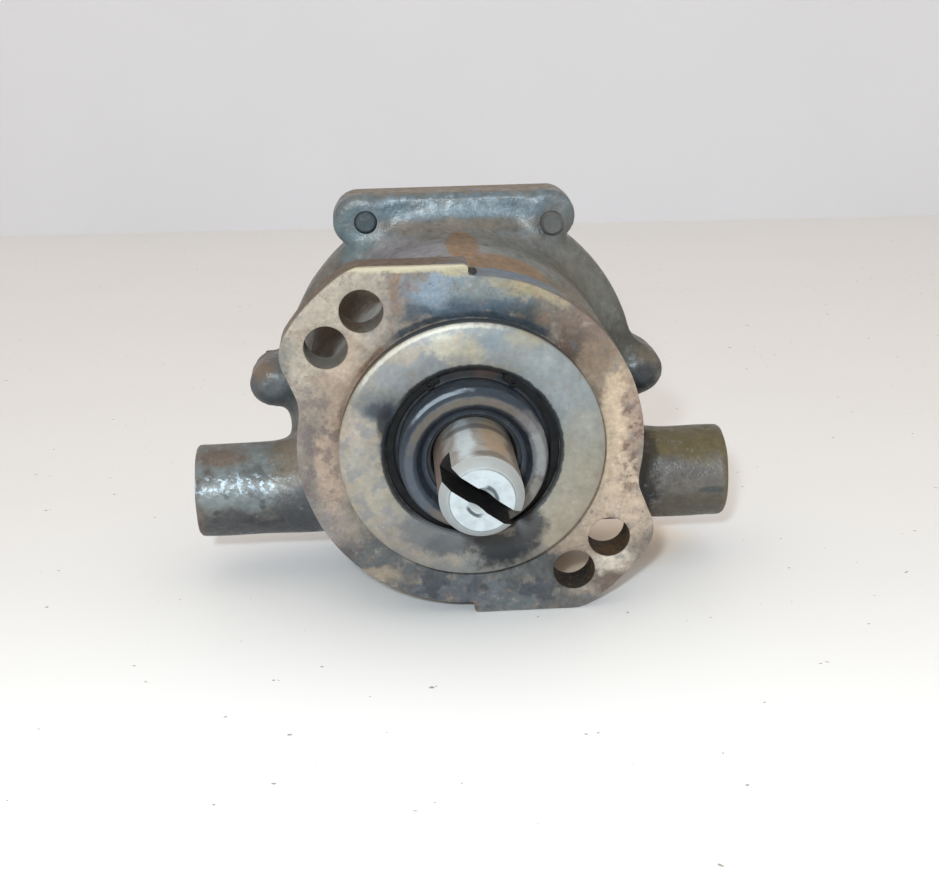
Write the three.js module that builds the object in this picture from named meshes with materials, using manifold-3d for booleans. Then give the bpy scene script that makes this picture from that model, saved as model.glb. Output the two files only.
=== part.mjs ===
// A flange-mounted flexible-impeller pump with a slotted drive shaft, taken apart as on a bench.
// Millimetres, +Z up. The shaft lies along Y and its slotted end points to -Y.
// Y is measured from the mounting face while the parts are made; the whole pump is then
// shifted so that the origin is on the shaft's axis, halfway along the pump.
import * as THREE from "three";
import { mergeVertices } from "three/addons/utils/BufferGeometryUtils.js";
import Module from "manifold-3d";

const wasm = await Module();
wasm.setup();

// ---------------------------------------------------------------- driving dimensions
const INCH = 25.4;
const GAP = 0.3; // left between pieces that touch on the real pump
const FIT = 0.1; // left all round between pieces that are pressed together

const FLANGE = { r: 41.8, thick: 9.5, earFlat: 44.5, earR: 52 };
const PILOT = { r: 1.25 * INCH, high: 4.7, chamfer: 0.5 };
const BOLT_HOLE = { r: 5.17, circle: 42.3, angles: [142.7, 126.3] }; // and the two opposite
const NECK = { r: 37, end: 22 };
const DRUM = { r: 41, start: 38 };

// The flange that the end cover bolts to; its disc lies a little to the right of the shaft.
const REAR = { front: 54.1, back: 61.1, r: 47.5, shift: 1.1 };
const SCREW_CIRCLE = 50.3;
const BOSS = { front: 53.4, r: 6.9 }; // the four open bosses, above and below
// The two closed bosses on the left and right: domed in front, with a web to the rim.
const SIDE_BOSS = { front: 50.4, r: 6.1, dome: 4.6, holeFront: 53, webAngle: 13 };
const GASKET_THICK = 0.8;
const COVER = { thick: 5.5, padR: 33, padHigh: 1.5, rim: 0.4 };
const SCREW = { r: 3, headR: 4.7, headHigh: 3.7, washerR: 4.8, washerThick: 1.2 };
// Where the front end of each cover screw stops, going round from the +X boss.
const SCREW_ENDS = [53.6, 49.6, 52.4, 53.6, 52.4, 52.4];
// The two upper screws sit a little off the even circle.
const SCREW_SHIFT = { 1: [0.3, -1.5], 2: [1.8, 0] };

const PORT = { y: 43.3, z: -26, r: 12.5, end: 71, bore: 8.6, boreDeep: 20, throat: 7.2, inner: 16 };

const SHAFT = { r: 0.375 * INCH, end: -34.7, chamfer: 2.5, faceR: 7.2, step: 24.9, thinR: 8, back: 58 };
const SLOT = { wide: 3.8, deep: 12.5, angle: -35.5 };

const BEARING = { r: 20.64, wide: 11.1, innerR: 12.6, outerR: 17.5, pitchR: 15.05, ballR: 2.65, balls: 7 };
const BEARING_Y = [0.5, 13.7];
const BORE_END = 25;
const SPACER_R = 12; // the sleeve between the two bearings

const CHAMBER = { r: 33, floor: 33 };
const SEAL_BORE = { r: 14.3, start: 27, holeR: 12 };
const SLINGER = { r: 11.5, back: 26.8 };
const WEAR_PLATE_THICK = 1.5;
const CAM = { halfAngle: 25, high: 5.4 };
const IMPELLER = { vanes: 12, hubR: 17, insertR: 12.5, vaneThick: 2.4, vaneLong: 15.9, tipR: 1.7 };

const COVER_FRONT = REAR.back + GASKET_THICK;
const COVER_BACK = COVER_FRONT + COVER.thick;
const HEAD_FRONT = COVER_BACK + SCREW.washerThick;
const PUMP_BACK = HEAD_FRONT + SCREW.headHigh;
const MIDDLE = (SHAFT.end + PUMP_BACK) / 2;

const deg = Math.PI / 180;
const FINE = 40; // sides of the large round shapes
const ROUND = 22; // sides of the middling ones
const SMALL = 10; // sides of holes and screws
const BOSS_SIDES = 14;

// ---------------------------------------------------------------- solids
function solid(geometry) {
  const g = geometry.clone();
  g.deleteAttribute("normal");
  g.deleteAttribute("uv");
  const merged = mergeVertices(g, 1e-4);
  const mesh = new wasm.Mesh({
    numProp: 3,
    vertProperties: new Float32Array(merged.attributes.position.array),
    triVerts: new Uint32Array(merged.index.array),
  });
  return new wasm.Manifold(mesh);
}

const join = (...parts) => parts.reduce((a, b) => a.add(b));
const cut = (whole, ...tools) => tools.reduce((a, b) => a.subtract(b), whole);

function geometryOf(shape) {
  const m = shape.getMesh();
  const g = new THREE.BufferGeometry();
  g.setAttribute("position", new THREE.BufferAttribute(new Float32Array(m.vertProperties), 3));
  g.setIndex(new THREE.BufferAttribute(new Uint32Array(m.triVerts), 1));
  return g;
}

// A profile of [radius, y] points turned about the Y axis. It is closed along the axis, or on
// itself where it never touches the axis.
function turned(profile, sides = ROUND) {
  const points = profile.map(([r, y]) => new THREE.Vector2(r, y));
  points.push(points[0].clone());
  if (THREE.ShapeUtils.area(points) < 0) points.reverse();
  return solid(new THREE.LatheGeometry(points, sides));
}

const rod = (r, y0, y1, sides = ROUND) => turned([[0, y0], [r, y0], [r, y1], [0, y1]], sides);

const tube = (rIn, rOut, y0, y1, sides = ROUND) =>
  turned([[rIn, y0], [rOut, y0], [rOut, y1], [rIn, y1]], sides);

// A flat outline drawn in X and Z, from y0 to y1.
function plate(shape, y0, y1, curveSegments = 12) {
  const g = new THREE.ExtrudeGeometry(shape, { depth: y1 - y0, bevelEnabled: false, curveSegments });
  g.rotateX(90 * deg);
  g.translate(0, y1, 0);
  return solid(g);
}

function box(x0, x1, y0, y1, z0, z1) {
  const g = new THREE.BoxGeometry(x1 - x0, y1 - y0, z1 - z0);
  g.translate((x0 + x1) / 2, (y0 + y1) / 2, (z0 + z1) / 2);
  return solid(g);
}

const alongX = (shape) => shape.rotate([0, 0, -90]);
const downwards = (shape) => shape.rotate([-90, 0, 0]);
const polar = (r, angle) => [r * Math.cos(angle * deg), r * Math.sin(angle * deg)];

// Points of an arc about (cx, cy), both ends included.
function arc(cx, cy, r, from, to, steps) {
  return Array.from({ length: steps + 1 }, (_, i) => {
    const [x, y] = polar(r, from + ((to - from) * i) / steps);
    return [cx + x, cy + y];
  });
}

// ---------------------------------------------------------------- outlines
// Half of the mounting flange, from the top step round by the ear to the bottom step; the other
// half is the same turned half a turn.
function flangeShape() {
  const { r, earFlat, earR } = FLANGE;
  const flatEnd = Math.asin(earFlat / earR) / deg; // where the ear's flat meets its round
  const half = new THREE.Path();
  half.moveTo(0, r);
  half.lineTo(0, earFlat);
  half.lineTo(...polar(earR - 0.5, 180 - flatEnd - 1));
  half.absarc(0, 0, earR, (180 - flatEnd + 2) * deg, 147 * deg, false);
  half.quadraticCurveTo(...polar(51.6, 153), ...polar(47.4, 156.5));
  half.lineTo(...polar(43.6, 161.5));
  half.quadraticCurveTo(...polar(42, 164.5), ...polar(r, 169));
  half.absarc(0, 0, r, 170 * deg, 269.5 * deg, false);
  const points = half.getPoints(10);
  const opposite = points.map((p) => new THREE.Vector2(-p.x, -p.y));
  return new THREE.Shape([...points, ...opposite]);
}

const isSideScrew = (i) => i % 3 === 0;

function screwPlace(i) {
  const [x, z] = polar(SCREW_CIRCLE, 60 * i);
  const [dx, dz] = SCREW_SHIFT[i] ?? [0, 0];
  return [x + dx, z + dz];
}

// Straight webs that run from the rim to the two side bosses.
function sideWeb(y0, y1, inset) {
  const [rimX, rimZ] = polar(REAR.r - inset, SIDE_BOSS.webAngle);
  const [leanX, leanZ] = polar(SIDE_BOSS.r - inset, 60);
  const bossX = SCREW_CIRCLE + leanX;
  const [left, right] = [REAR.shift - rimX, REAR.shift + rimX];
  const corners = [[right, rimZ], [left, rimZ], [-bossX, leanZ], [-bossX, -leanZ]];
  corners.push([left, -rimZ], [right, -rimZ], [bossX, -leanZ], [bossX, leanZ]);
  return plate(new THREE.Shape(corners.map(([x, z]) => new THREE.Vector2(x, z))), y0, y1);
}

// The outline of the end-cover flange, gasket and cover: a disc, two straight bridges and six bosses.
function coverOutline(y0, y1, inset) {
  const disc = rod(REAR.r - inset, y0, y1, FINE).translate([REAR.shift, 0, 0]);
  const parts = [disc, sideWeb(y0, y1, inset)];
  for (let i = 0; i < 6; i++) {
    const [x, z] = polar(SCREW_CIRCLE, 60 * i);
    const r = isSideScrew(i) ? SIDE_BOSS.r : BOSS.r;
    parts.push(rod(r - inset, y0, y1, BOSS_SIDES).translate([x, 0, z]));
  }
  const [bridgeX, bossZ] = polar(SCREW_CIRCLE, 60);
  const bridgeZ = bossZ + BOSS.r - inset;
  parts.push(box(-bridgeX, bridgeX, y0, y1, -bridgeZ, bridgeZ));
  return join(...parts);
}

// ---------------------------------------------------------------- the casting
function boltHoles() {
  const angles = BOLT_HOLE.angles.flatMap((a) => [a, a + 180]);
  return angles.map((a) => {
    const [x, z] = polar(BOLT_HOLE.circle, a);
    return rod(BOLT_HOLE.r, -1, FLANGE.thick + 1, 16).translate([x, 0, z]);
  });
}

// The six screw holes; the side ones may start further back, so that they stay closed in front.
function screwHoles(y0, y1, r, sideY0 = y0) {
  return Array.from({ length: 6 }, (_, i) => {
    const [x, z] = screwPlace(i);
    return rod(r, isSideScrew(i) ? sideY0 : y0, y1, SMALL).translate([x, 0, z]);
  });
}

function drum() {
  const flareR = REAR.r - REAR.shift;
  const flare = flareR - DRUM.r; // fillet where the drum runs into the cover flange
  const profile = [
    [0, -PILOT.high],
    [PILOT.r - PILOT.chamfer, -PILOT.high],
    [PILOT.r, -PILOT.high + PILOT.chamfer],
    [PILOT.r, 0],
    [NECK.r, 0],
    [NECK.r, NECK.end],
    [NECK.r + 1.4, (NECK.end + DRUM.start) / 2],
    [DRUM.r, DRUM.start],
    ...arc(flareR, REAR.front - flare, flare, 180, 90, 5),
    [flareR, REAR.back],
    [0, REAR.back],
  ];
  return turned(profile, FINE);
}

// One port, pointing to +X: a round stub with a rounded end and a flared root.
function portStub(side) {
  const endRound = 2;
  const inside = 14; // the stub starts this far from the middle, inside the drum
  const flare = 8; // fillet where the stub runs into the drum
  const rootX = 30;
  const rootR = PORT.r + 5;
  const profile = [
    [0, inside],
    [rootR, inside],
    [rootR, rootX],
    ...arc(PORT.r + flare, rootX + flare, flare, 248, 180, 4),
    ...arc(PORT.r - endRound, PORT.end - endRound, endRound, 0, 90, 3),
    [0, PORT.end],
  ];
  const stub = alongX(turned(profile, ROUND));
  const placed = side > 0 ? stub : stub.rotate([0, 0, 180]);
  return placed.translate([0, PORT.y, PORT.z]);
}

function portBore(side) {
  const threadEnd = PORT.end - PORT.boreDeep;
  const profile = [
    [0, PORT.inner],
    [PORT.throat, PORT.inner],
    [PORT.throat, threadEnd],
    [PORT.bore - 0.4, threadEnd],
    [PORT.bore, PORT.end - 0.6],
    [PORT.bore + 0.8, PORT.end + 0.2],
    [0, PORT.end + 0.2],
  ];
  const bore = alongX(turned(profile, 16));
  const placed = side > 0 ? bore : bore.rotate([0, 0, 180]);
  return placed.translate([0, PORT.y, PORT.z]);
}

function bearingBore() {
  const grooveR = BEARING.r + 1.2;
  return turned([
    [0, -PILOT.high - 1],
    [BEARING.r, -PILOT.high - 1],
    [BEARING.r, -3],
    [grooveR, -3],
    [grooveR, -1.6],
    [BEARING.r, -1.6],
    [BEARING.r, BORE_END],
    [SEAL_BORE.holeR, BORE_END],
    [SEAL_BORE.holeR, SEAL_BORE.start],
    [SEAL_BORE.r, SEAL_BORE.start],
    [SEAL_BORE.r, CHAMBER.floor],
    [CHAMBER.r, CHAMBER.floor],
    [CHAMBER.r, REAR.back + 1],
    [0, REAR.back + 1],
  ], FINE);
}

const CAM_SCREW = { y: 48, r: 2, headR: 3.8, headHigh: 2.6, seat: -41.2, tip: -29.4 };
const DOWEL = { r: 1.5, z: 28, deep: 3 };

function pumpBody() {
  const bosses = [60, 120, 240, 300].map((a) => {
    const [x, z] = polar(SCREW_CIRCLE, a);
    return rod(BOSS.r, BOSS.front, REAR.back, BOSS_SIDES).translate([x, 0, z]);
  });
  const { front, r, dome } = SIDE_BOSS;
  const sideBosses = [-1, 1].map((side) => {
    const rim = arc(r - dome, front + dome, dome, 270, 360, 4);
    return turned([[0, front], ...rim, [r, REAR.back], [0, REAR.back]], BOSS_SIDES)
      .translate([side * SCREW_CIRCLE, 0, 0]);
  });
  const casting = join(
    drum(),
    plate(flangeShape(), 0, FLANGE.thick),
    coverOutline(REAR.front, REAR.back, 0),
    ...bosses,
    ...sideBosses,
    portStub(1),
    portStub(-1),
  );
  const weepHole = downwards(rod(1.8, 11, 46, SMALL)).translate([0, 26, 0]);
  const camHole = downwards(rod(CAM_SCREW.r + GAP, 31, 46, SMALL)).translate([0, CAM_SCREW.y, 0]);
  const camSeat = downwards(rod(CAM_SCREW.headR + 1, -CAM_SCREW.seat, 46, BOSS_SIDES));
  return cut(
    casting,
    bearingBore(),
    portBore(1),
    portBore(-1),
    ...boltHoles(),
    ...screwHoles(BOSS.front - 1, REAR.back + 1, SCREW.r + GAP, SIDE_BOSS.holeFront),
    weepHole,
    camHole,
    camSeat.translate([0, CAM_SCREW.y, 0]),
    rod(DOWEL.r + GAP, CHAMBER.floor - DOWEL.deep, CHAMBER.floor + 1, SMALL).translate([0, 0, DOWEL.z]),
  );
}

// ---------------------------------------------------------------- end cover, gasket, screws
function endCover() {
  const pad = turned([
    [0, COVER_BACK - 1],
    [COVER.padR, COVER_BACK - 1],
    [COVER.padR, COVER_BACK],
    [COVER.padR - 1.5, COVER_BACK + COVER.padHigh],
    [0, COVER_BACK + COVER.padHigh],
  ], FINE);
  const whole = join(coverOutline(COVER_FRONT, COVER_BACK, COVER.rim), pad);
  return cut(whole, ...screwHoles(COVER_FRONT - 1, COVER_BACK + 1, SCREW.r + GAP));
}

function gasket() {
  const sheet = coverOutline(REAR.back, COVER_FRONT, 0.6);
  const holes = screwHoles(REAR.back - 1, COVER_FRONT + 1, SCREW.r + GAP);
  return cut(sheet, rod(CHAMBER.r, REAR.back - 1, COVER_FRONT + 1, FINE), ...holes);
}

function coverScrew(end) {
  const shank = turned([
    [0, end],
    [SCREW.r - 0.7, end],
    [SCREW.r, end + 0.9],
    [SCREW.r, HEAD_FRONT + 0.5],
    [0, HEAD_FRONT + 0.5],
  ], SMALL);
  const head = turned([
    [0, HEAD_FRONT],
    [SCREW.headR, HEAD_FRONT],
    [SCREW.headR, PUMP_BACK - 0.7],
    [SCREW.headR - 0.9, PUMP_BACK],
    [0, PUMP_BACK],
  ], 6);
  return join(shank, head);
}

// A spring washer: a ring with a narrow slit.
function springWasher() {
  const ring = tube(SCREW.r + GAP, SCREW.washerR, COVER_BACK, HEAD_FRONT, SMALL);
  return cut(ring, box(-0.5, 0.5, COVER_BACK - 1, HEAD_FRONT + 1, 0, SCREW.washerR + 1));
}

// ---------------------------------------------------------------- shaft and what rides on it
const SHAFT_RING = { y: -0.8, groove: 9, thick: 1.1, r: 12.2 };
const END_RING = { y: 56.4, thick: 1.1, groove: 7.5, r: 10 };
const KEY = { wide: 4, low: 6, high: 10, y0: 38, y1: 54 };

function driveShaft() {
  const grooveSpare = 0.1;
  const grooveIn = 0.7;
  const shaft = turned([
    [0, SHAFT.end],
    [SHAFT.faceR, SHAFT.end],
    [SHAFT.r, SHAFT.end + SHAFT.chamfer],
    [SHAFT.r, SHAFT_RING.y - grooveSpare],
    [SHAFT_RING.groove - 0.3, SHAFT_RING.y - grooveSpare],
    [SHAFT_RING.groove - 0.3, SHAFT_RING.y + SHAFT_RING.thick + grooveSpare],
    [SHAFT.r, SHAFT_RING.y + SHAFT_RING.thick + grooveSpare],
    [SHAFT.r, SHAFT.step],
    [SHAFT.thinR, SHAFT.step],
    [SHAFT.thinR, END_RING.y - grooveSpare],
    [SHAFT.thinR - grooveIn, END_RING.y - grooveSpare],
    [SHAFT.thinR - grooveIn, END_RING.y + END_RING.thick + grooveSpare],
    [SHAFT.thinR, END_RING.y + END_RING.thick + grooveSpare],
    [SHAFT.thinR - 0.3, SHAFT.back],
    [0, SHAFT.back],
  ], 32);
  const slotEnd = SHAFT.end + SLOT.deep;
  const slot = box(-20, 20, SHAFT.end - 1, slotEnd, -SLOT.wide / 2, SLOT.wide / 2);
  const centre = turned([[0, SHAFT.end - 0.1], [3.2, SHAFT.end - 0.1], [0, SHAFT.end + 3]], SMALL);
  const keyway = box(-KEY.wide / 2 - GAP, KEY.wide / 2 + GAP, KEY.y0 - 1, KEY.y1 + 1, KEY.low - GAP, 12);
  return cut(shaft, slot.rotate([0, -SLOT.angle, 0]), centre, keyway);
}

// A circlip: a flat ring open over a gap, with a lug beside the gap on each side.
function circlip(rIn, rOut, y0, y1, gapAngle, lugsInside) {
  const opening = new THREE.Shape([
    new THREE.Vector2(0, 0),
    new THREE.Vector2(...polar(rOut * 2, 90 - gapAngle / 2)),
    new THREE.Vector2(...polar(rOut * 2, 90 + gapAngle / 2)),
  ]);
  const lugR = lugsInside ? rIn + 0.6 : rOut - 0.3;
  const lugs = [-1, 1].map((side) => {
    const [x, z] = polar(lugR, 90 + side * (gapAngle / 2 + 8));
    return rod(1.3, y0, y1, 8).translate([x, 0, z]);
  });
  const open = cut(tube(rIn, rOut, y0, y1, ROUND), plate(opening, y0 - 1, y1 + 1));
  return join(open, ...lugs);
}

function impellerInsert() {
  const sleeve = tube(SHAFT.thinR + 2 * FIT, IMPELLER.insertR, CHAMBER.floor + 2.2, 56, ROUND);
  const keyway = box(-KEY.wide / 2 - GAP, KEY.wide / 2 + GAP, 30, 60, 0, KEY.high + GAP);
  return cut(sleeve, keyway);
}

// ---------------------------------------------------------------- chamber: cam, wear plate, impeller
// How far the wall of the chamber stands in from its full radius, going round from straight down.
function camRise(angleFromDown) {
  const share = Math.min(Math.abs(angleFromDown) / CAM.halfAngle, 1);
  return (CAM.high * (1 + Math.cos(Math.PI * share))) / 2;
}

const WALL_R = CHAMBER.r - GAP;
const PLATE_BACK = CHAMBER.floor + WEAR_PLATE_THICK;
const VANE_FRONT = PLATE_BACK + GAP;
const VANE_BACK = COVER_FRONT - GAP;

function cam() {
  const steps = 14;
  const at = (i) => -CAM.halfAngle + (2 * CAM.halfAngle * i) / steps;
  const range = Array.from({ length: steps + 1 }, (_, i) => at(i));
  const outer = range.map((a) => polar(WALL_R, a - 90));
  const inner = range.map((a) => polar(WALL_R - 0.4 - camRise(a), a - 90)).reverse();
  const shape = new THREE.Shape([...outer, ...inner].map(([x, z]) => new THREE.Vector2(x, z)));
  const hole = downwards(rod(CAM_SCREW.r + GAP, -CAM_SCREW.tip - 0.4, 36, SMALL));
  return cut(plate(shape, VANE_FRONT, REAR.back - GAP), hole.translate([0, CAM_SCREW.y, 0]));
}

function wearPlate() {
  const shaftHoleR = 11;
  const disc = tube(shaftHoleR, WALL_R, CHAMBER.floor, PLATE_BACK, FINE);
  const pinHole = rod(DOWEL.r + GAP, CHAMBER.floor - 1, PLATE_BACK + 1, SMALL);
  return cut(disc, pinHole.translate([0, 0, DOWEL.z]));
}

const TIP_SPREAD = 4; // degrees of wall that a vane's round tip covers to each side

// A vane's tip stands as far out as the wall or the cam lets it; the vane keeps its length, so it
// trails further round where it is pressed in.
function vane(rootAngle) {
  const { hubR, vaneThick, vaneLong, tipR } = IMPELLER;
  const chord = vaneLong - tipR;
  let trail = 10;
  let reach = WALL_R;
  for (let i = 0; i < 40; i++) {
    const fromDown = ((((rootAngle - trail + 90) % 360) + 540) % 360) - 180;
    const highest = Math.max(...[-TIP_SPREAD, 0, TIP_SPREAD].map((a) => camRise(fromDown + a)));
    reach = WALL_R - GAP - tipR - highest - (highest > 0.05 ? 2 * GAP : 0);
    const cosine = (hubR ** 2 + reach ** 2 - chord ** 2) / (2 * hubR * reach);
    trail += 0.2 * (Math.acos(Math.min(cosine, 1)) / deg - trail);
  }
  const [tx, tz] = polar(reach, rootAngle - trail);
  const root = new THREE.Vector2(...polar(hubR - 2, rootAngle));
  const knee = new THREE.Vector2(...polar((hubR + reach) / 2 + 1, rootAngle - trail * 0.25));
  const bend = new THREE.QuadraticBezierCurve(root, knee, new THREE.Vector2(tx, tz));
  const steps = 3;
  const side = (sign) =>
    Array.from({ length: steps + 1 }, (_, i) => {
      const p = bend.getPoint(i / steps);
      const t = bend.getTangent(i / steps);
      const half = (sign * vaneThick * (1 - 0.25 * (i / steps))) / 2;
      return new THREE.Vector2(p.x - t.y * half, p.y + t.x * half);
    });
  const outline = new THREE.Shape([...side(-1), ...side(1).reverse()]);
  const tip = rod(tipR, VANE_FRONT, VANE_BACK, 8).translate([tx, 0, tz]);
  return join(plate(outline, VANE_FRONT, VANE_BACK), tip);
}

function impeller() {
  const hub = tube(IMPELLER.insertR + 2 * FIT, IMPELLER.hubR, VANE_FRONT, VANE_BACK, 24);
  const half = 180 / IMPELLER.vanes;
  const angles = Array.from({ length: IMPELLER.vanes }, (_, i) => half + (360 * i) / IMPELLER.vanes);
  return join(hub, ...angles.map(vane));
}

// ---------------------------------------------------------------- bearings and seals
function ballGroove(middle) {
  return new THREE.TorusGeometry(BEARING.pitchR, BEARING.ballR + 0.5, 8, ROUND)
    .rotateX(90 * deg)
    .translate(0, middle, 0);
}

function bearing(y0) {
  const y1 = y0 + BEARING.wide;
  const middle = (y0 + y1) / 2;
  const groove = solid(ballGroove(middle));
  const cage = tube(BEARING.pitchR - 0.7, BEARING.pitchR + 0.7, middle - 3.6, middle + 3.6, 14);
  const balls = Array.from({ length: BEARING.balls }, (_, i) => {
    const [x, z] = polar(BEARING.pitchR, (360 * i) / BEARING.balls);
    return solid(new THREE.IcosahedronGeometry(BEARING.ballR, 1)).translate([x, middle, z]);
  });
  return {
    outer: cut(tube(BEARING.outerR, BEARING.r - FIT, y0, y1), groove),
    inner: cut(tube(SHAFT.r + FIT, BEARING.innerR, y0, y1), groove),
    balls: join(cage, ...balls),
  };
}

// The dark boss round the shaft: a flanged ring in the bearing bore, with a funnel mouth.
const SEAL_HOUSING = { r: 17.6, front: -12.3, mouthR: 14.4, pocketR: 14.8, flangeR: 20.4, seat: -7.9 };

function sealHousing() {
  const { r, front, mouthR, pocketR, flangeR, seat } = SEAL_HOUSING;
  const shoulder = { in: 1.2, back: 3.4 }; // the front edge slopes back to the full radius
  const floor = { r: 12.4, front: seat - 1.5 }; // bottom of the funnel
  return turned([
    [mouthR, front],
    [r - shoulder.in, front],
    [r, front + shoulder.back],
    [r, -1.3],
    [flangeR, -1.3],
    [flangeR, 0.2],
    [pocketR, 0.2],
    [pocketR, seat],
    [11.2, seat],
    [11.2, floor.front],
    [floor.r, floor.front],
  ], 32);
}

const LIP_GAP = 0.15;

function frontLipSeal() {
  const out = SEAL_HOUSING.pocketR - 0.2;
  const lipR = SHAFT.r + LIP_GAP;
  return turned([
    [out, -7.8], [out, -2.2], [13.2, -2.2], [13.2, -6.2], [11.2, -6.2],
    [11, -3.6], [10.4, -2.6], [lipR, -3.8], [lipR + 0.5, -7.8],
  ]);
}

function garterSpring(r, y) {
  return solid(new THREE.TorusGeometry(r, 0.55, 5, ROUND).rotateX(90 * deg).translate(0, y, 0));
}

function rearSealCase() {
  const out = SEAL_BORE.r - FIT;
  return turned([
    [out, 27.2], [out, 32.8], [out - 0.9, 32.8], [out - 0.9, 28.1], [10.6, 28.1], [10.6, 27.2],
  ]);
}

function rearLipSeal() {
  const lipR = SHAFT.thinR + LIP_GAP;
  return turned([
    [13, 28.4], [13, 32.4], [12.2, 32.4], [12.2, 29.6], [9.6, 29.6],
    [9.4, 31.6], [8.8, 32.6], [lipR, 31.4], [lipR + 0.5, 28.4],
  ]);
}

// ---------------------------------------------------------------- the assembly
const finishes = {
  paintedCasting: [0x8f9a9c, 0.6, 0.3],
  coverPaint: [0x7d8a90, 0.6, 0.3],
  steel: [0xb9bcbd, 0.35, 0.9],
  darkSteel: [0x2c3034, 0.5, 0.6],
  screwSteel: [0x5a544e, 0.6, 0.7],
  rubber: [0x1c1c1e, 0.8, 0],
  brass: [0xb08d4a, 0.4, 0.9],
  paper: [0xa08a68, 0.9, 0],
};
const materials = Object.fromEntries(
  Object.entries(finishes).map(([name, [color, roughness, metalness]]) => [
    name,
    new THREE.MeshStandardMaterial({ color, roughness, metalness }),
  ]),
);

const pump = new THREE.Group();
function add(name, shape, finish) {
  const mesh = new THREE.Mesh(geometryOf(shape), materials[finish]);
  mesh.name = name;
  pump.add(mesh);
}

add("pump_body", pumpBody(), "paintedCasting");
add("end_cover", endCover(), "coverPaint");
add("cover_gasket", gasket(), "paper");
for (let i = 0; i < 6; i++) {
  const [x, z] = screwPlace(i);
  add(`cover_screw_${i + 1}`, coverScrew(SCREW_ENDS[i]).translate([x, 0, z]), "screwSteel");
  add(`spring_washer_${i + 1}`, springWasher().translate([x, 0, z]), "screwSteel");
}

add("seal_housing", sealHousing(), "darkSteel");
add("front_lip_seal", frontLipSeal(), "rubber");
add("front_garter_spring", garterSpring(12.2, -5), "steel");
add("bore_snap_ring", circlip(18.7, BEARING.r + 0.9, -2.9, -1.7, 46, true), "darkSteel");

["front", "rear"].forEach((place, i) => {
  const rings = bearing(BEARING_Y[i]);
  add(`${place}_bearing_outer_ring`, rings.outer, "steel");
  add(`${place}_bearing_inner_ring`, rings.inner, "steel");
  add(`${place}_bearing_balls`, rings.balls, "steel");
});
const spacerFront = BEARING_Y[0] + BEARING.wide + FIT;
add("bearing_spacer", tube(SHAFT.r + FIT, SPACER_R, spacerFront, BEARING_Y[1] - FIT), "steel");

add("rear_seal_case", rearSealCase(), "steel");
add("rear_lip_seal", rearLipSeal(), "rubber");
add("rear_garter_spring", garterSpring(10.7, 30.9), "steel");
add("slinger", tube(SHAFT.thinR + FIT, SLINGER.r, SHAFT.step + GAP, SLINGER.back), "rubber");

add("drive_shaft", driveShaft(), "steel");
const ringBack = SHAFT_RING.y + SHAFT_RING.thick;
const shaftRing = circlip(SHAFT_RING.groove, SHAFT_RING.r, SHAFT_RING.y, ringBack, 60, false);
add("shaft_retaining_ring", shaftRing, "darkSteel");

add("wear_plate", wearPlate(), "brass");
const dowelFront = CHAMBER.floor - DOWEL.deep + GAP;
const dowel = rod(DOWEL.r, dowelFront, PLATE_BACK - FIT, SMALL).translate([0, 0, DOWEL.z]);
add("wear_plate_dowel", dowel, "steel");
add("cam", cam(), "brass");
const camScrew = join(
  rod(CAM_SCREW.r, -CAM_SCREW.tip, -CAM_SCREW.seat + 1, SMALL),
  rod(CAM_SCREW.headR, -CAM_SCREW.seat, -CAM_SCREW.seat + CAM_SCREW.headHigh, 6),
);
add("cam_screw", downwards(camScrew).translate([0, CAM_SCREW.y, 0]), "screwSteel");

add("impeller", impeller(), "rubber");
add("impeller_insert", impellerInsert(), "brass");
add("impeller_key", box(-KEY.wide / 2, KEY.wide / 2, KEY.y0, KEY.y1, KEY.low, KEY.high), "steel");
const endRingBack = END_RING.y + END_RING.thick;
const endRing = circlip(END_RING.groove, END_RING.r, END_RING.y, endRingBack, 60, false);
add("impeller_retaining_ring", endRing, "darkSteel");
const plugFront = END_RING.y + END_RING.thick + 1.3;
add("impeller_plug", rod(IMPELLER.insertR - GAP, plugFront, VANE_BACK), "rubber");

pump.position.y = -MIDDLE;

export default pump;
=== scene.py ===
"""The looks of a flange-mounted flexible-impeller pump: worn painted casting, slotted steel shaft.

Lengths are millimetres until a piece is made. Y is measured from the mounting face, the shaft's
slotted end points to -Y, and the shaft's axis is x = z = 0, as in the CAD model.
"""

import math

import bmesh
import bpy
import numpy as np
from mathutils import Matrix, Vector


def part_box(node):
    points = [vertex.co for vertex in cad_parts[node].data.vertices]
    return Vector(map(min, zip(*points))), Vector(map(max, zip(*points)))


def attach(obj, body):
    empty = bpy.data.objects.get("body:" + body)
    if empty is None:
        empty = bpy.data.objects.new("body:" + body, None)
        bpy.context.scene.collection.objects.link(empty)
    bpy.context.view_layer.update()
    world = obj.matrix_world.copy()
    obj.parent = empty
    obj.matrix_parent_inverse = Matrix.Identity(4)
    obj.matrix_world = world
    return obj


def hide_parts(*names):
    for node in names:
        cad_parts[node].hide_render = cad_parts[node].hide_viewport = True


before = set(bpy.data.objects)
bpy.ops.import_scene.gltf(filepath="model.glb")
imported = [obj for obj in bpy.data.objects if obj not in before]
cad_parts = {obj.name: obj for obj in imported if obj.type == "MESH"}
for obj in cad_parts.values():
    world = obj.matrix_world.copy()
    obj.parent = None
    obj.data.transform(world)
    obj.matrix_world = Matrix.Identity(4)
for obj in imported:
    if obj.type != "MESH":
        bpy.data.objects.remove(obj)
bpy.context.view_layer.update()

MM = 0.001

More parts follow.
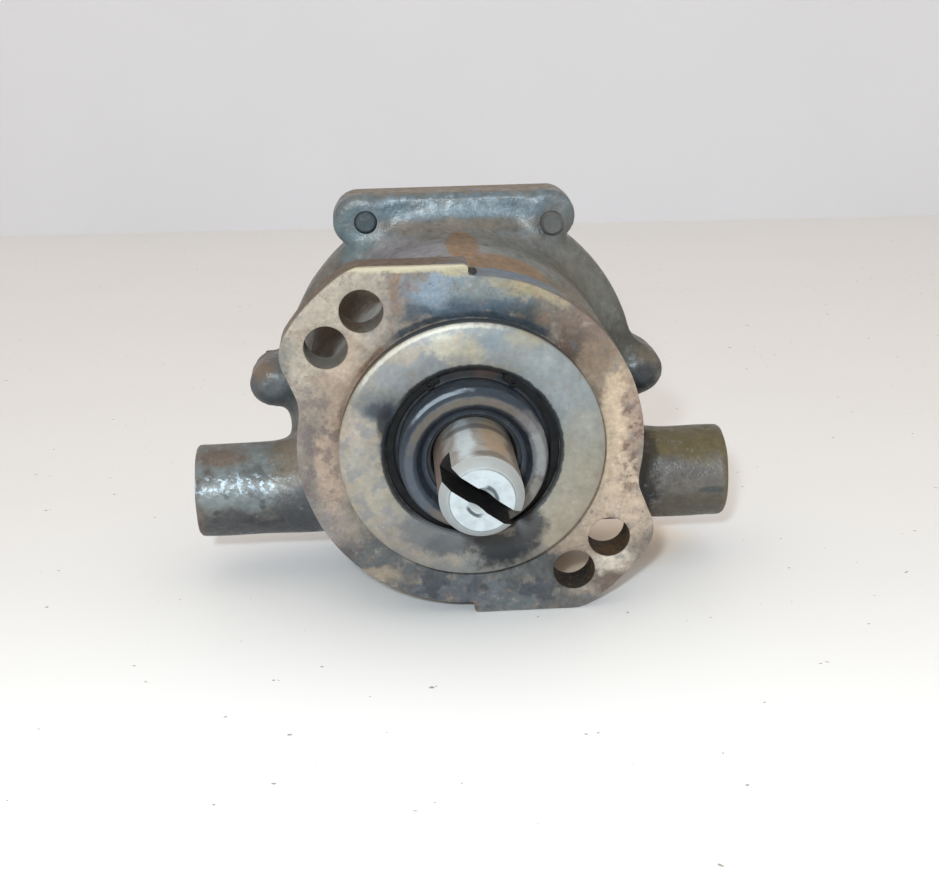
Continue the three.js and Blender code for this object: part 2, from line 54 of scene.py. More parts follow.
# ------------------------------------------------------------------ driving dimensions
PILOT_R, PILOT_HIGH = 31.75, 4.7
FLANGE_R, FLANGE_THICK = 41.8, 9.5
EAR_FLAT, EAR_R = 44.5, 52.0
BOLT_R, BOLT_CIRCLE, BOLT_ANGLES = 5.17, 42.3, (142.7, 126.3, 322.7, 306.3)
NECK_R, NECK_END, DRUM_R, DRUM_START = 37.0, 22.0, 41.0, 38.0
REAR_FRONT, REAR_BACK, REAR_R, REAR_SHIFT = 54.1, 61.1, 47.5, 1.1
SCREW_CIRCLE, BOSS_FRONT, BOSS_R, SIDE_BOSS_R = 50.3, 53.4, 6.9, 6.1
SCREW_ENDS = (53.6, 49.6, 52.4, 53.6, 52.4, 52.4)
GASKET_BACK, COVER_BACK, HEAD_FRONT, PUMP_BACK = 61.9, 67.4, 68.6, 72.3
PORT_Y, PORT_Z, PORT_R, PORT_END = 43.3, -26.0, 12.5, 71.0
BEARING_R, BORE_END, CHAMBER_R, CHAMBER_FLOOR = 20.64, 25.0, 33.0, 33.0
SHAFT_R, SHAFT_END, SHAFT_BACK = 9.525, -34.7, 58.0
SLOT_WIDE, SLOT_DEEP, SLOT_ANGLE = 3.8, 12.5, -35.5

# The mounting face's place along Y in the row frame.
FACE_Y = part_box("pump_body")[0].y / MM + PILOT_HIGH


def in_frame(points):
    """Millimetres from the mounting face to metres in the row frame."""
    return (np.asarray(points, float) + (0, FACE_Y, 0)) * MM


def polar(r, angle):
    return r * math.cos(math.radians(angle)), r * math.sin(math.radians(angle))


# The two upper screws sit off the even circle, as their bosses were drilled.
SCREW_SHIFT = {1: (0.3, -1.5), 2: (1.8, 0.0)}


def screw_place(number):
    x, z = polar(SCREW_CIRCLE, 60 * number)
    shift = SCREW_SHIFT.get(number, (0, 0))
    return x + shift[0], z + shift[1]


# ------------------------------------------------------------------ camera
CAMERA_AT = (-21.6, -340.9, 127.9)
CAMERA_YAW, CAMERA_PITCH, CAMERA_ROLL = 3.544, -20.43, 1.08
LENS = 58.3


def make_camera():
    data = bpy.data.cameras.new("camera")
    data.lens = LENS
    data.clip_start = 0.01
    camera = bpy.data.objects.new("camera", data)
    bpy.context.scene.collection.objects.link(camera)
    turn = (
        Matrix.Rotation(math.radians(-CAMERA_YAW), 4, "Z")
        @ Matrix.Rotation(math.radians(90 + CAMERA_PITCH), 4, "X")
        @ Matrix.Rotation(math.radians(-CAMERA_ROLL), 4, "Z")
    )
    camera.matrix_world = Matrix.Translation(in_frame(CAMERA_AT)) @ turn
    bpy.context.scene.camera = camera


make_camera()


# ------------------------------------------------------------------ materials
# Colours are given as they look under the lamp, so paint is this much darker than its number.
PAINT_SHARE = 0.44


def srgb(r, g, b, share=PAINT_SHARE):
    """A colour in the usual 0 to 255 numbers, as linear RGBA."""
    linear = [c / 255 / 12.92 if c <= 10 else ((c / 255 + 0.055) / 1.055) ** 2.4 for c in (r, g, b)]
    return (*(c * share for c in linear), 1.0)


# A patch thinner than this isn't shifted by the large ripples that distort the others.
SMALL_PATCH = 1.8


class Paint:
    """A node material painted in layers. Places are in millimetres from the mounting face."""

    def __init__(self, name, wobble=2.6):
        self.material = bpy.data.materials.new(name)
        self.material.use_nodes = True
        self.tree = self.material.node_tree
        self.tree.nodes.clear()
        self.shader = self.node("ShaderNodeBsdfPrincipled")
        output = self.node("ShaderNodeOutputMaterial")
        self.tree.links.new(self.shader.outputs["BSDF"], output.inputs["Surface"])
        coordinate = self.node("ShaderNodeTexCoord")
        self.place = self.vector("MULTIPLY", coordinate.outputs["Object"], (1000, 1000, 1000))
        self.place = self.vector("SUBTRACT", self.place, (0, FACE_Y, 0))
        self.ragged = self.noise(0.42, detail=6, rough=0.68)
        shift = self.node("ShaderNodeTexNoise", Scale=0.13, Detail=5.0, Roughness=0.5)
        self.tree.links.new(self.place, shift.inputs["Vector"])
        centred = self.vector("SUBTRACT", shift.outputs["Color"], (0.5, 0.5, 0.5))
        moved = self.vector("MULTIPLY", centred, (wobble * 4,) * 3)
        self.warped = self.vector("ADD", self.place, moved)

    def node(self, kind, **inputs):
        node = self.tree.nodes.new(kind)
        for name, value in inputs.items():
            node.inputs[name.replace("_", " ")].default_value = value
        return node

    def wire(self, value, socket):
        if isinstance(value, bpy.types.NodeSocket):
            self.tree.links.new(value, socket)
        elif value is not None:
            socket.default_value = value

    def vector(self, operation, a, b=None):
        node = self.node("ShaderNodeVectorMath")
        node.operation = operation
        self.wire(a, node.inputs[0])
        self.wire(b, node.inputs[3 if operation == "SCALE" else 1])
        return node.outputs["Value" if operation in ("LENGTH", "DOT_PRODUCT") else "Vector"]

    def math(self, operation, a, b=None, clamp=False):
        node = self.node("ShaderNodeMath")
        node.operation = operation
        node.use_clamp = clamp
        self.wire(a, node.inputs[0])
        self.wire(b, node.inputs[1])
        return node.outputs[0]

    def step(self, value, low, high):
        """0 below low, 1 above high, smooth between; low may be the greater one."""
        node = self.node("ShaderNodeMapRange")
        node.interpolation_type = "SMOOTHSTEP"
        ends = (1.0, 0.0) if low > high else (0.0, 1.0)
        for index, number in zip((1, 2, 3, 4), (min(low, high), max(low, high), *ends)):
            node.inputs[index].default_value = number
        self.wire(value, node.inputs[0])
        return node.outputs[0]

    def noise(self, scale, detail=4, rough=0.55, stretch=(1, 1, 1), offset=0.0):
        node = self.node("ShaderNodeTexNoise", Scale=scale, Detail=float(detail), Roughness=rough)
        where = self.vector("MULTIPLY", self.place, stretch)
        where = self.vector("ADD", where, (offset, offset * 1.7, -offset))
        self.tree.links.new(where, node.inputs["Vector"])
        return node.outputs["Fac"]

    def mix(self, share, a, b):
        node = self.node("ShaderNodeMix")
        node.data_type = "RGBA"
        self.wire(share, node.inputs[0])
        self.wire(a, node.inputs[6])
        self.wire(b, node.inputs[7])
        return node.outputs[2]

    def lay(self, mask, colour, amount=1.0):
        share = self.math("MULTIPLY", mask, amount) if amount != 1.0 else mask
        self.colour = self.mix(share, self.colour, colour)
        return self

    def base(self, colour, second=None, scale=0.09):
        self.colour = self.mix(0.0, colour, colour)
        if second:
            self.lay(self.step(self.noise(scale, 5), 0.36, 0.64), second)
        return self

    def blob(self, centre, radii, soft=0.8, ragged=0.7, steady=False):
        """1 within an ellipsoid whose edge is broken up by noise, 0 outside it."""
        place = self.place if steady or min(radii) < SMALL_PATCH else self.warped
        away = self.vector("SUBTRACT", place, centre)
        reach = self.vector("LENGTH", self.vector("MULTIPLY", away, tuple(1 / r for r in radii)))
        rough = self.math("MULTIPLY", self.math("SUBTRACT", self.ragged, 0.5), ragged * 2)
        return self.step(self.math("ADD", reach, rough), 1 + soft / 2, 1 - soft / 2)

    def patch(self, centre, radii, colour, amount=1.0, soft=0.8, ragged=0.7):
        return self.lay(self.blob(centre, radii, soft, ragged), colour, amount)

    def patches(self, *rows):
        """Patches laid in turn: rows of centre, radii, a colour's srgb numbers, and the rest."""
        for centre, radii, colour, *rest in rows:
            self.patch(centre, radii, srgb(*colour), *rest)

    def stain(self, centre, radii, colour, amount=1.0, soft=0.2, ragged=0.25):
        """A patch that keeps its place and a clear edge."""
        return self.lay(self.blob(centre, radii, soft, ragged, True), colour, amount)

    def band(self, radius, half, y_range=(-99, 99), ragged=0.5):
        """1 near a distance from the shaft's axis."""
        out = self.vector("LENGTH", self.vector("MULTIPLY", self.place, (1, 0, 1)))
        off = self.math("ABSOLUTE", self.math("SUBTRACT", out, radius))
        rough = self.math("MULTIPLY", self.math("SUBTRACT", self.ragged, 0.5), half * ragged * 4)
        mask = self.step(self.math("ADD", off, rough), half * 1.5, half * 0.5)
        axial = self.vector("DOT_PRODUCT", self.place, (0, 1, 0))
        mask = self.math("MULTIPLY", mask, self.step(axial, y_range[0] - 0.3, y_range[0] + 0.3))
        return self.math("MULTIPLY", mask, self.step(axial, y_range[1] + 0.3, y_range[1] - 0.3))

    def ring(self, radius, half, colour, amount=1.0, y_range=(-99, 99), ragged=0.5):
        return self.lay(self.band(radius, half, y_range, ragged), colour, amount)

    def arc(self, radius, half, centre, radii, colour, amount=1.0, y_range=(-99, 99)):
        """A piece of ring: the part of it that lies within an ellipsoid."""
        mask = self.math("MULTIPLY", self.band(radius, half, y_range), self.blob(centre, radii))
        return self.lay(mask, colour, amount)

    def speckle(self, scale, low, high, colour, amount=1.0, offset=0.0, detail=4):
        """Flecks where a noise passes a threshold."""
        mask = self.step(self.noise(scale, detail, 0.6, offset=offset), low, high)
        return self.lay(mask, colour, amount)

    def rim(self, centre, radii, colour):
        """Paint on the flange's edge, behind its front face."""
        axial = self.vector("DOT_PRODUCT", self.place, (0, 1, 0))
        mask = self.math("MULTIPLY", self.blob(centre, radii), self.step(axial, 0.7, 1.5))
        return self.lay(mask, colour, 0.9)

    def flecks(self, mask, scale, low, high, colour, amount=1.0, offset=0.0):
        """Flecks within a mask."""
        spots = self.step(self.noise(scale, 3, 0.55, offset=offset), low, high)
        return self.lay(self.math("MULTIPLY", mask, spots), colour, amount)

    def mottle(self, scale, amount, offset=0.0):
        """Makes the colour lighter and darker in soft patches."""
        swing = self.math("SUBTRACT", self.noise(scale, 5, 0.6, offset=offset), 0.5)
        swing = self.math("MULTIPLY", swing, amount * 4)
        self.colour = self.vector("SCALE", self.colour, self.math("ADD", swing, 1.0))
        return self

    def bump(self, layers):
        """layers: (noise scale per mm, height in mm), finest last."""
        normal = None
        for index, (scale, height) in enumerate(layers):
            node = self.node("ShaderNodeBump", Strength=1.0, Distance=height * MM)
            self.wire(self.noise(scale, 5, 0.6, offset=11.0 * index), node.inputs["Height"])
            self.wire(normal, node.inputs["Normal"])
            normal = node.outputs["Normal"]
        self.tree.links.new(normal, self.shader.inputs["Normal"])
        return self

    def done(self, rough=(0.5, 0.75), metallic=0.0, specular=0.5, rough_scale=0.5):
        self.tree.links.new(self.colour, self.shader.inputs["Base Color"])
        if isinstance(rough, tuple):
            span = self.step(self.noise(rough_scale, 4, offset=5.0), 0.3, 0.7)
            wide = self.math("MULTIPLY", span, rough[1] - rough[0])
            self.wire(self.math("ADD", wide, rough[0]), self.shader.inputs["Roughness"])
        else:
            self.shader.inputs["Roughness"].default_value = rough
        self.shader.inputs["Metallic"].default_value = metallic
        self.shader.inputs["Specular IOR Level"].default_value = specular
        return self.material


BLACK = srgb(22, 21, 24)


def flange_paint():
    p = Paint("worn_flange_paint").base(srgb(146, 138, 130), srgb(162, 150, 138), 0.12)
    # The upper left ear and the left side: scraped back to primer.
    p.patches(
        ((-36, 0, 32), (19, 14, 18), (196, 184, 168)),
        ((-29, 0, 17), (7, 9, 9), (184, 168, 150), 0.8),
        ((-45, 0, 22), (4, 12, 9), (140, 136, 128), 0.8),
        ((-20, 0, 31), (4, 8, 8), (158, 146, 138), 0.7),
        ((-16.8, 0, 39), (1.6, 5, 6), (148, 122, 106), 0.85),
        ((-14.2, 0, 38.5), (0.9, 5, 4.5), (120, 100, 88), 0.7),
        ((-13, 0, 33.5), (1.4, 5, 2.6), (100, 92, 90), 0.8),
        ((-35, 0, -2), (7, 12, 14), (178, 160, 142), 0.8),
        ((-40, 0, -6), (3, 12, 14), (134, 128, 124), 0.8),
        ((-33, 0, -14), (5, 9, 6), (154, 142, 132), 0.8),
        ((-33, 0, -20), (5, 9, 5), (146, 142, 142), 0.7),
        # The top: light blue paint with a dark smear against the pilot.
        ((-3, 0, 38), (11.5, 12, 6.5), (140, 160, 178), 0.95),
        ((-6, 0, 40), (6, 6, 3), (156, 174, 192), 0.8),
        ((8, 0, 37.5), (12, 12, 5.5), (142, 150, 150), 0.95),
        ((1, 0, 33.4), (17, 4, 2.0), (78, 94, 110), 0.95),
        ((14, 0, 31.5), (9, 4, 3.6), (74, 82, 84), 0.9),
        ((21, 0, 33), (6, 3, 4), (126, 118, 108), 0.8),
    )
    # Pale cream along the top edges: worn paint, with a painted highlight where the edge catches the lamp.
    p.arc(40.7, 1.1, (16, 0, 37), (12, 2, 6), srgb(182, 166, 138), 0.9, (-1, 1))
    p.patches(
        ((13, 0, 38.4), (5, 1.7, 2), (176, 164, 130), 0.7),
        ((-2, 0, 43.2), (5, 1.2, 1.5), (202, 190, 156), 0.9),
        ((-14, 0, 43.8), (12, 1.2, 0.8), (214, 204, 172), 0.9),
        # The right side: purple-brown, then cream, with dark freckles.
        ((27, 0, 27), (7, 8, 8), (134, 114, 102), 0.95),
        ((24, 0, 23.5), (4, 6, 4), (106, 90, 80), 0.8),
        ((34, 0, 17), (6, 9, 7), (160, 142, 124), 0.9),
        ((35, 0, 3), (4.5, 9, 14), (232, 206, 176), 0.95),
        ((39.5, 0, 5), (2.6, 9, 13), (184, 158, 140), 0.85),
        ((35, 0, -14), (7, 12, 9), (222, 198, 172), 0.95),
        ((36, 0, -22), (8, 12, 7), (216, 194, 172), 0.9),
    )
    freckled = p.blob((38.6, 0, -2), (3.6, 5, 13), 0.8, 0.6)
    p.flecks(freckled, 0.45, 0.46, 0.6, srgb(126, 98, 88), 0.85, 51.0)
    p.patches(
        ((45, 0, -20), (4, 12, 6), (196, 178, 160), 0.9),
        ((46, 0, -28), (4.5, 12, 6), (136, 124, 114), 0.9),
        ((37, 0, -37), (8, 12, 4.5), (120, 104, 94), 0.95),
        ((27, 0, -28), (5, 6, 5), (176, 158, 140), 0.8),
        ((35, 0, -32), (4.5, 5, 3), (226, 214, 198), 0.9),
        # The bottom: slate and graphite.
        ((17, 0, -34.5), (9, 10, 5), (84, 87, 87), 0.9),
        ((23, 0, -43), (9, 10, 3), (102, 100, 100), 0.9),
        ((6, 0, -40), (12, 12, 6), (101, 110, 115), 0.95),
        ((-6, 0, -37), (14, 12, 6), (90, 97, 105), 0.95),
        ((-24, 0, -30), (11, 12, 8), (98, 101, 102), 0.95),
        ((-14, 0, -34.5), (5, 5, 1.5), (164, 150, 130), 0.75),
        ((10, 0, -34.6), (5, 5, 1.4), (134, 128, 120), 0.7),
        ((-31, 0, -26), (4, 9, 4), (92, 84, 86), 0.8),
        ((32.5, 0, -44), (4, 8, 2.5), (140, 132, 120), 0.8),
    )
    p.speckle(0.32, 0.53, 0.68, srgb(150, 118, 100), 0.45, 3.0, detail=6)
    p.speckle(0.36, 0.56, 0.7, srgb(196, 184, 168), 0.4, 9.0, detail=6)
    p.speckle(0.28, 0.56, 0.68, srgb(124, 128, 136), 0.45, 31.0, detail=6)
    p.speckle(0.8, 0.6, 0.7, srgb(100, 86, 78), 0.5, 21.0)
    p.arc(32.6, 0.8, (0, 0, 32), (22, 4, 9), srgb(58, 70, 82), 0.9, (-1, 2))
    p.arc(32.3, 0.6, (-28, 0, 14), (8, 5, 16), srgb(120, 82, 50), 0.9, (-1, 2))
    p.arc(32.3, 0.5, (30, 0, -10), (8, 5, 20), srgb(110, 82, 58), 0.8, (-1, 2))
    p.patches(
        ((-30, 0, 18), (6, 5, 10), (200, 176, 156), 0.75),
        ((-33.5, 0, -4), (3.4, 5, 13), (208, 182, 162), 0.75),
        ((-29, 0, -18), (4, 5, 5), (170, 156, 142), 0.6),
        ((34, 0, 2), (3, 5, 12), (238, 212, 184), 0.75),
        ((28.5, 0, 18), (4, 5, 5), (184, 160, 138), 0.6),
        ((24.5, 0, -24.5), (3.6, 5, 3.6), (186, 166, 146), 0.8),
        ((-12, 0, -33), (16, 5, 3), (84, 88, 94), 0.7),
    )
    lower = p.blob((-6, 0, -38), (34, 6, 9), 0.8, 0.5)
    p.flecks(lower, 0.14, 0.5, 0.6, srgb(58, 64, 74), 0.8, 43.0)
    p.flecks(lower, 0.2, 0.57, 0.66, srgb(150, 136, 122), 0.6, 47.0)
    p.patch((-24, 0, -33.5), (4, 5, 2.4), srgb(176, 160, 140), 0.8)
    left = p.blob((-38, 0, -2), (7, 6, 20), 0.8, 0.5)
    p.flecks(left, 0.26, 0.52, 0.62, srgb(124, 108, 110), 0.6, 57.0)
    p.patches(
        ((12, 0, -32.4), (12, 5, 3), (78, 80, 82), 0.75),
        ((0, 0, 34.6), (12, 5, 2), (104, 122, 138), 0.5),
        ((38, 0, -36), (4.5, 5, 3), (124, 106, 96), 0.8),
        ((31, 0, 21), (4, 5, 4), (146, 124, 104), 0.7),
    )
    p.mottle(0.32, 0.22, 2.0).mottle(1.0, 0.2, 7.0)
    # Round the edge, where the rim turns back towards the drum.
    p.rim((-24, 5, 40), (26, 9, 16), srgb(112, 88, 70))
    p.rim((11, 5, 40), (11, 9, 6), srgb(124, 140, 158))
    p.rim((34, 5, 24), (12, 9, 18), srgb(128, 112, 92))
    # Pale cream along the top of the upper left ear: worn paint, with a painted highlight.
    p.patch((-18, 0.2, 44.3), (19, 1.1, 0.7), srgb(226, 216, 188), 0.9, 0.6, 0.5)
    # A black spot on the rim just right of the top step: the ear's painted shadow, with grime.
    p.patch((1.3, 5.2, 41.9), (1.0, 4.4, 1.5), BLACK, 1.0, 0.3, 0.1)
    return p.bump([(0.5, 0.14), (2.0, 0.05)]).done((0.5, 0.78), specular=0.4)


def pilot_paint():
    y = -PILOT_HIGH
    p = Paint("worn_pilot_face", wobble=1.8).base(srgb(162, 158, 148), srgb(168, 164, 150), 0.15)
    p.patches(
        ((20, y, 14), (14, 9, 17), (154, 162, 165), 0.95),
        ((27, y, 2), (6, 9, 9), (166, 164, 154), 0.8),
        ((25, y, -12), (9, 9, 12), (172, 165, 148), 0.9),
        ((20, y, -21), (8, 9, 7), (178, 167, 148), 0.9),
        ((-2, y, 28), (20, 6, 6), (146, 154, 158), 0.9),
        ((-14, y, 22), (10, 6, 7), (148, 154, 158), 0.85),
        ((-2, y, 25), (5, 5, 3.2), (196, 188, 164), 0.85, 0.8, 1.0),
        ((-6.5, y, 26.5), (3, 5, 3), (210, 204, 184), 0.8, 0.8, 1.0),
        ((-16, y, 25.5), (5, 5, 2.5), (174, 162, 142), 0.8),
        ((7, y, 27), (5, 5, 1.9), (134, 148, 158), 0.9),
        ((12.5, y, 27), (5, 5, 2), (176, 168, 146), 0.7),
        ((-29, y, 3), (5, 6, 11), (192, 180, 166), 0.9),
        ((-25, y, -4), (5, 6, 9), (180, 176, 166), 0.9),
        ((-26, y, -14), (7, 6, 8), (184, 176, 160), 0.85),
        ((-21, y, -21), (7, 6, 6), (172, 162, 150), 0.85),
        ((-12, y, -27), (9, 6, 5), (156, 151, 144), 0.85),
        ((0, y, -30), (9, 6, 2.6), (142, 145, 146), 0.8),
        ((14, y, -28), (7, 6, 3), (140, 136, 130), 0.8),
    )
    worn = p.blob((-14, y, 2), (20, 6, 34), 0.8, 0.6)
    p.flecks(worn, 0.24, 0.54, 0.66, srgb(196, 176, 154), 0.6, 61.0)
    p.flecks(worn, 0.3, 0.5, 0.62, srgb(144, 144, 154), 0.6, 71.0)
    p.speckle(0.3, 0.55, 0.68, srgb(150, 132, 116), 0.35, 4.0, detail=6)
    p.speckle(0.7, 0.6, 0.7, srgb(204, 196, 178), 0.35, 17.0)
    # Near black round the bore's mouth: painted shade in the gap round the seal housing.
    p.ring(21.2, 0.6, srgb(30, 32, 38), 0.95, (-9, -3))
    # A painted highlight: a pale line along the pilot's upper left edge.
    p.arc(31.2, 0.5, (-14, y, 28), (18, 6, 12), srgb(232, 228, 214), 0.9, (-4.9, -4))
    p.ring(31.8, 0.8, srgb(104, 80, 58), 0.9, (-3.7, 2), 0.2)
    p.arc(31.8, 0.8, (0, -2, 31), (24, 6, 14), srgb(62, 72, 80), 0.9, (-3.7, 2))
    p.mottle(0.28, 0.16, 2.0).mottle(0.9, 0.14, 7.0)
    p.patches(
        ((-22, y, 13), (6, 5, 4.6), (108, 114, 116), 0.85),
        ((-21.3, y, 11.5), (3.6, 5, 3), (56, 66, 80), 0.95),
        ((-20.4, y, 6), (1.8, 5, 7), (36, 40, 48), 0.9),
        ((-12, y, -20), (7, 5, 4), (112, 114, 118), 0.85),
        ((-4, y, -22.5), (7, 5, 3), (84, 90, 96), 0.85),
        # Dark blot below and right of the shaft: a stain, with the shaft's painted shadow.
        ((6.5, y, -25.5), (8.6, 5, 4.4), (30, 35, 43), 1.0),
        ((13.6, y, -20.5), (4.2, 5, 5.4), (48, 50, 56), 0.95),
    )
    return p.bump([(0.8, 0.04), (3.0, 0.02)]).done((0.42, 0.5), specular=0.45)


def casting_paint(name, rough, specular):
    p = Paint(name).base(srgb(112, 114, 112), srgb(126, 124, 118), 0.1)
    # The top of the drum.
    p.patches(
        ((-14, 38, 38), (20, 14, 10), (154, 152, 160), 0.95),
        ((14, 42, 38), (18, 12, 9), (140, 142, 142), 0.9),
        # Browner and darker just behind the flange's top: dirt, with painted shade.
        ((-12, 20, 38), (20, 7, 10), (128, 116, 104), 0.9),
        ((-26, 30, 32), (8, 16, 12), (136, 130, 122), 0.8),
        ((10, 16, 38), (12, 9, 6), (120, 136, 156), 0.9),
    )
    p.stain((0.9, 38, 41), (4.2, 11.5, 6), srgb(152, 122, 94), 0.97)
    p.stain((13, 25.5, 37), (17, 7.4, 9), srgb(150, 120, 92), 0.95)
    p.patches(
        ((29, 28, 27), (8, 7, 9), (126, 114, 80), 0.95, 0.6),
        ((35, 24, 18), (7, 12, 12), (108, 100, 82), 0.9),
        ((32, 40, 28), (10, 12, 12), (122, 118, 106), 0.85),
        # The front of the cover flange.
        ((0, 54, 46), (34, 6, 7), (106, 126, 140), 0.95),
        ((2, 54, 45.4), (18, 5, 1.6), (120, 144, 160), 0.75),
        ((2, 53.4, 42), (30, 4, 1.7), (112, 106, 100), 0.85),
        ((-14, 54, 47), (4, 3, 1.7), (96, 120, 134), 0.6),
        ((-5, 54, 49), (7, 5, 2), (108, 124, 130), 0.8, 0.8, 1.0),
        ((-27, 52, 40), (6, 6, 7), (104, 126, 134), 0.9),
        ((29, 52, 41), (6, 6, 6), (116, 118, 118), 0.85),
        ((0, 50, 42.3), (30, 5, 1.8), (136, 130, 122), 0.7),
        ((0, 59, 51), (36, 4, 2), (144, 124, 100), 0.95),
        ((-37, 55, 30), (5, 6, 16), (132, 126, 116), 0.7),
        ((38, 54, 28), (8, 6, 16), (112, 114, 108), 0.85),
        ((47, 55, 5), (11, 12, 10), (72, 72, 66), 0.95),
        ((50, 50, -2), (7, 9, 5), (52, 58, 64), 0.9),
        ((53, 55, 5), (5, 9, 3), (112, 104, 92), 0.8),
        ((-51, 55, 0), (10, 12, 9), (92, 98, 104), 0.95),
        ((-54, 58, 4), (6, 8, 3), (134, 110, 92), 0.85),
        # Under the drum, between the two flanges: painted shade.
        ((28, 24, -28), (14, 14, 12), (80, 72, 60), 0.8),
        # The left port.
        ((-59, 34, -19), (20, 12, 8), (132, 142, 146), 0.95),
        ((-45, 38, -16), (6, 12, 8), (136, 124, 108), 0.9),
        ((-64, 36, -14.8), (7, 9, 1.7), (118, 98, 86), 0.85),
        ((-67.5, 33, -19), (3, 6, 2.4), (96, 92, 90), 0.9),
        ((-55, 33, -18.5), (3, 6, 2), (92, 96, 98), 0.85),
        # Darker underside of the left port: painted shade.
        ((-59, 34, -34), (20, 12, 6), (84, 85, 88), 0.95),
        ((-61, 32, -30), (5, 9, 4), (84, 84, 86), 0.85),
        ((-43, 34, -30), (6, 12, 9), (80, 82, 87), 0.95),
        ((-69.8, 38, -31), (1.6, 9, 8), (112, 98, 90), 0.9),
        # The right port.
        ((60, 38, -16), (18, 14, 7), (106, 94, 56), 0.95),
        ((60, 33, -24), (16, 9, 5.5), (120, 114, 110), 0.95),
        ((57, 33, -21.5), (9, 7, 2.4), (88, 84, 84), 0.7),
        ((60, 35, -33), (18, 12, 6), (102, 94, 80), 0.95),
        # A dark line along the right port's underside: painted shade.
        ((60, 37, -38), (14, 8, 2.4), (72, 66, 62), 0.8),
        ((66.5, 31, -27), (3.4, 6, 1.0), (70, 80, 80), 0.85),
        # Dark at the right port's root, next to the flange: the flange's painted shadow.
        ((45, 38, -17), (6, 12, 8), (54, 46, 28), 0.95, 0.5, 0.4),
    )
    # Near black at the right port's root: the flange's painted shadow.
    p.stain((42.2, 30, -25), (9.6, 11, 15), srgb(24, 20, 18), 0.97, 0.4, 0.5)
    p.patch((70.4, 40, -24), (1.5, 12, 12), srgb(112, 100, 70), 0.85)
    p.speckle(0.3, 0.56, 0.7, srgb(92, 80, 72), 0.5, 2.0, detail=6)
    p.speckle(0.4, 0.59, 0.7, srgb(160, 166, 170), 0.4, 14.0)
    p.speckle(0.22, 0.58, 0.7, srgb(116, 100, 90), 0.45, 26.0, detail=6)
    p.mottle(0.28, 0.28, 2.0).mottle(0.9, 0.2, 7.0)
    # Painted highlights: pale flecks where the lamp glints on the rough tops of the left port and the web.
    bright = p.blob((-60, 32, -20.6), (12, 6, 2.2), 1.0, 0.5, True)
    p.flecks(bright, 0.62, 0.51, 0.58, srgb(196, 218, 234, 0.62), 0.95, 81.0)
    dark = p.blob((-58, 34, -29), (14, 9, 8), 0.8, 0.5, True)
    p.flecks(dark, 0.16, 0.5, 0.6, srgb(58, 58, 62), 0.75, 33.0)
    bright = p.blob((-4, 54, 48.2), (17, 4, 1.5), 0.9, 0.5)
    p.flecks(bright, 0.5, 0.5, 0.6, srgb(176, 196, 212), 0.7, 91.0)
    # The drum behind the upper ear's holes: painted shade with dark dirt above, a painted pool of lamp light
    # below.
    p.patches(
        ((-32, 33, 21), (14, 20, 14), (58, 44, 32), 0.9, 1.3, 0.8),
        ((-32, 38, 22), (5, 8, 5), (84, 58, 30), 0.6),
        ((-22.3, 11, 28.8), (7, 11, 6), (168, 170, 168), 0.85, 0.7, 0.6),
        ((-31, 11.5, 20), (6.5, 10.5, 5.5), (156, 157, 154), 0.85, 0.7, 0.6),
    )
    return p.bump([(0.35, 0.22), (1.0, 0.12), (2.0, 0.03)]).done(rough, specular=specular)


def cover_paint():
    p = Paint("worn_cover_paint").base(srgb(112, 120, 120), srgb(132, 130, 122))
    p.patches(
        ((-14, 68, 18), (22, 8, 16), (138, 150, 154), 0.8),
        ((20, 68, -10), (16, 8, 22), (104, 94, 82), 0.7),
        ((-22, 68, -26), (18, 8, 12), (150, 138, 118), 0.7),
    )
    p.ring(33, 1.6, srgb(78, 66, 54), 0.7, (66, 69))
    for i in range(6):
        x, z = screw_place(i)
        p.patch((x, 67.4, z), (7.5, 5, 7.5), srgb(96, 76, 56), 0.75)
    p.patch((0, 64, 51), (40, 4, 3), srgb(146, 124, 98), 0.9)
    p.speckle(0.5, 0.56, 0.68, srgb(106, 86, 68), 0.6, 6.0)
    p.speckle(0.6, 0.6, 0.7, srgb(174, 170, 156), 0.5, 15.0)
    p.mottle(0.3, 0.2, 2.0).mottle(1.2, 0.16, 7.0)
    return p.bump([(0.35, 0.22), (1.1, 0.12), (2.6, 0.05)]).done((0.36, 0.5), specular=0.5)


def simple_paint(name, colour, second, rough, metallic, flecks, bumps, scale=0.3, specular=0.5):
    p = Paint(name).base(colour, second, scale)
    p.speckle(0.9, 0.57, 0.7, flecks, 0.7, 8.0)
    return p.mottle(0.8, 0.15, 3.0).bump(bumps).done(rough, metallic, specular)


def screw_end_paint():
    p = Paint("painted_screw_end").base(srgb(108, 108, 108), srgb(94, 98, 98), 0.3)
    p.stain((-23.4, 50, 43.6), (5, 6, 5), srgb(66, 84, 94), 0.95)
    p.speckle(0.9, 0.57, 0.7, srgb(126, 120, 112), 0.5, 8.0)
    p.mottle(0.8, 0.18, 3.0)
    return p.bump([(1.0, 0.09), (3.5, 0.03)]).done((0.4, 0.6), specular=0.4)


def hole_paint():
    p = Paint("rusty_hole_with_painted_light").base(srgb(96, 70, 42), srgb(64, 48, 36), 0.3)
    p.patches(
        # Pale grey on the lower walls of the upper left holes: painted lamp light. Darker brown on their
        # upper walls: painted shade.
        ((-28, 5, 28), (16, 12, 16), (124, 122, 114), 0.9),
        ((-32, 6, 34), (12, 9, 9), (84, 56, 26), 0.9),
        # Near black in a lower right hole: painted shade.
        ((25, 5, -34), (5, 9, 8), (40, 34, 30), 0.9),
    )
    p.speckle(0.9, 0.57, 0.7, srgb(140, 112, 72), 0.7, 8.0)
    return p.mottle(0.8, 0.2, 3.0).bump([(0.8, 0.12), (3.0, 0.04)]).done((0.6, 0.85))


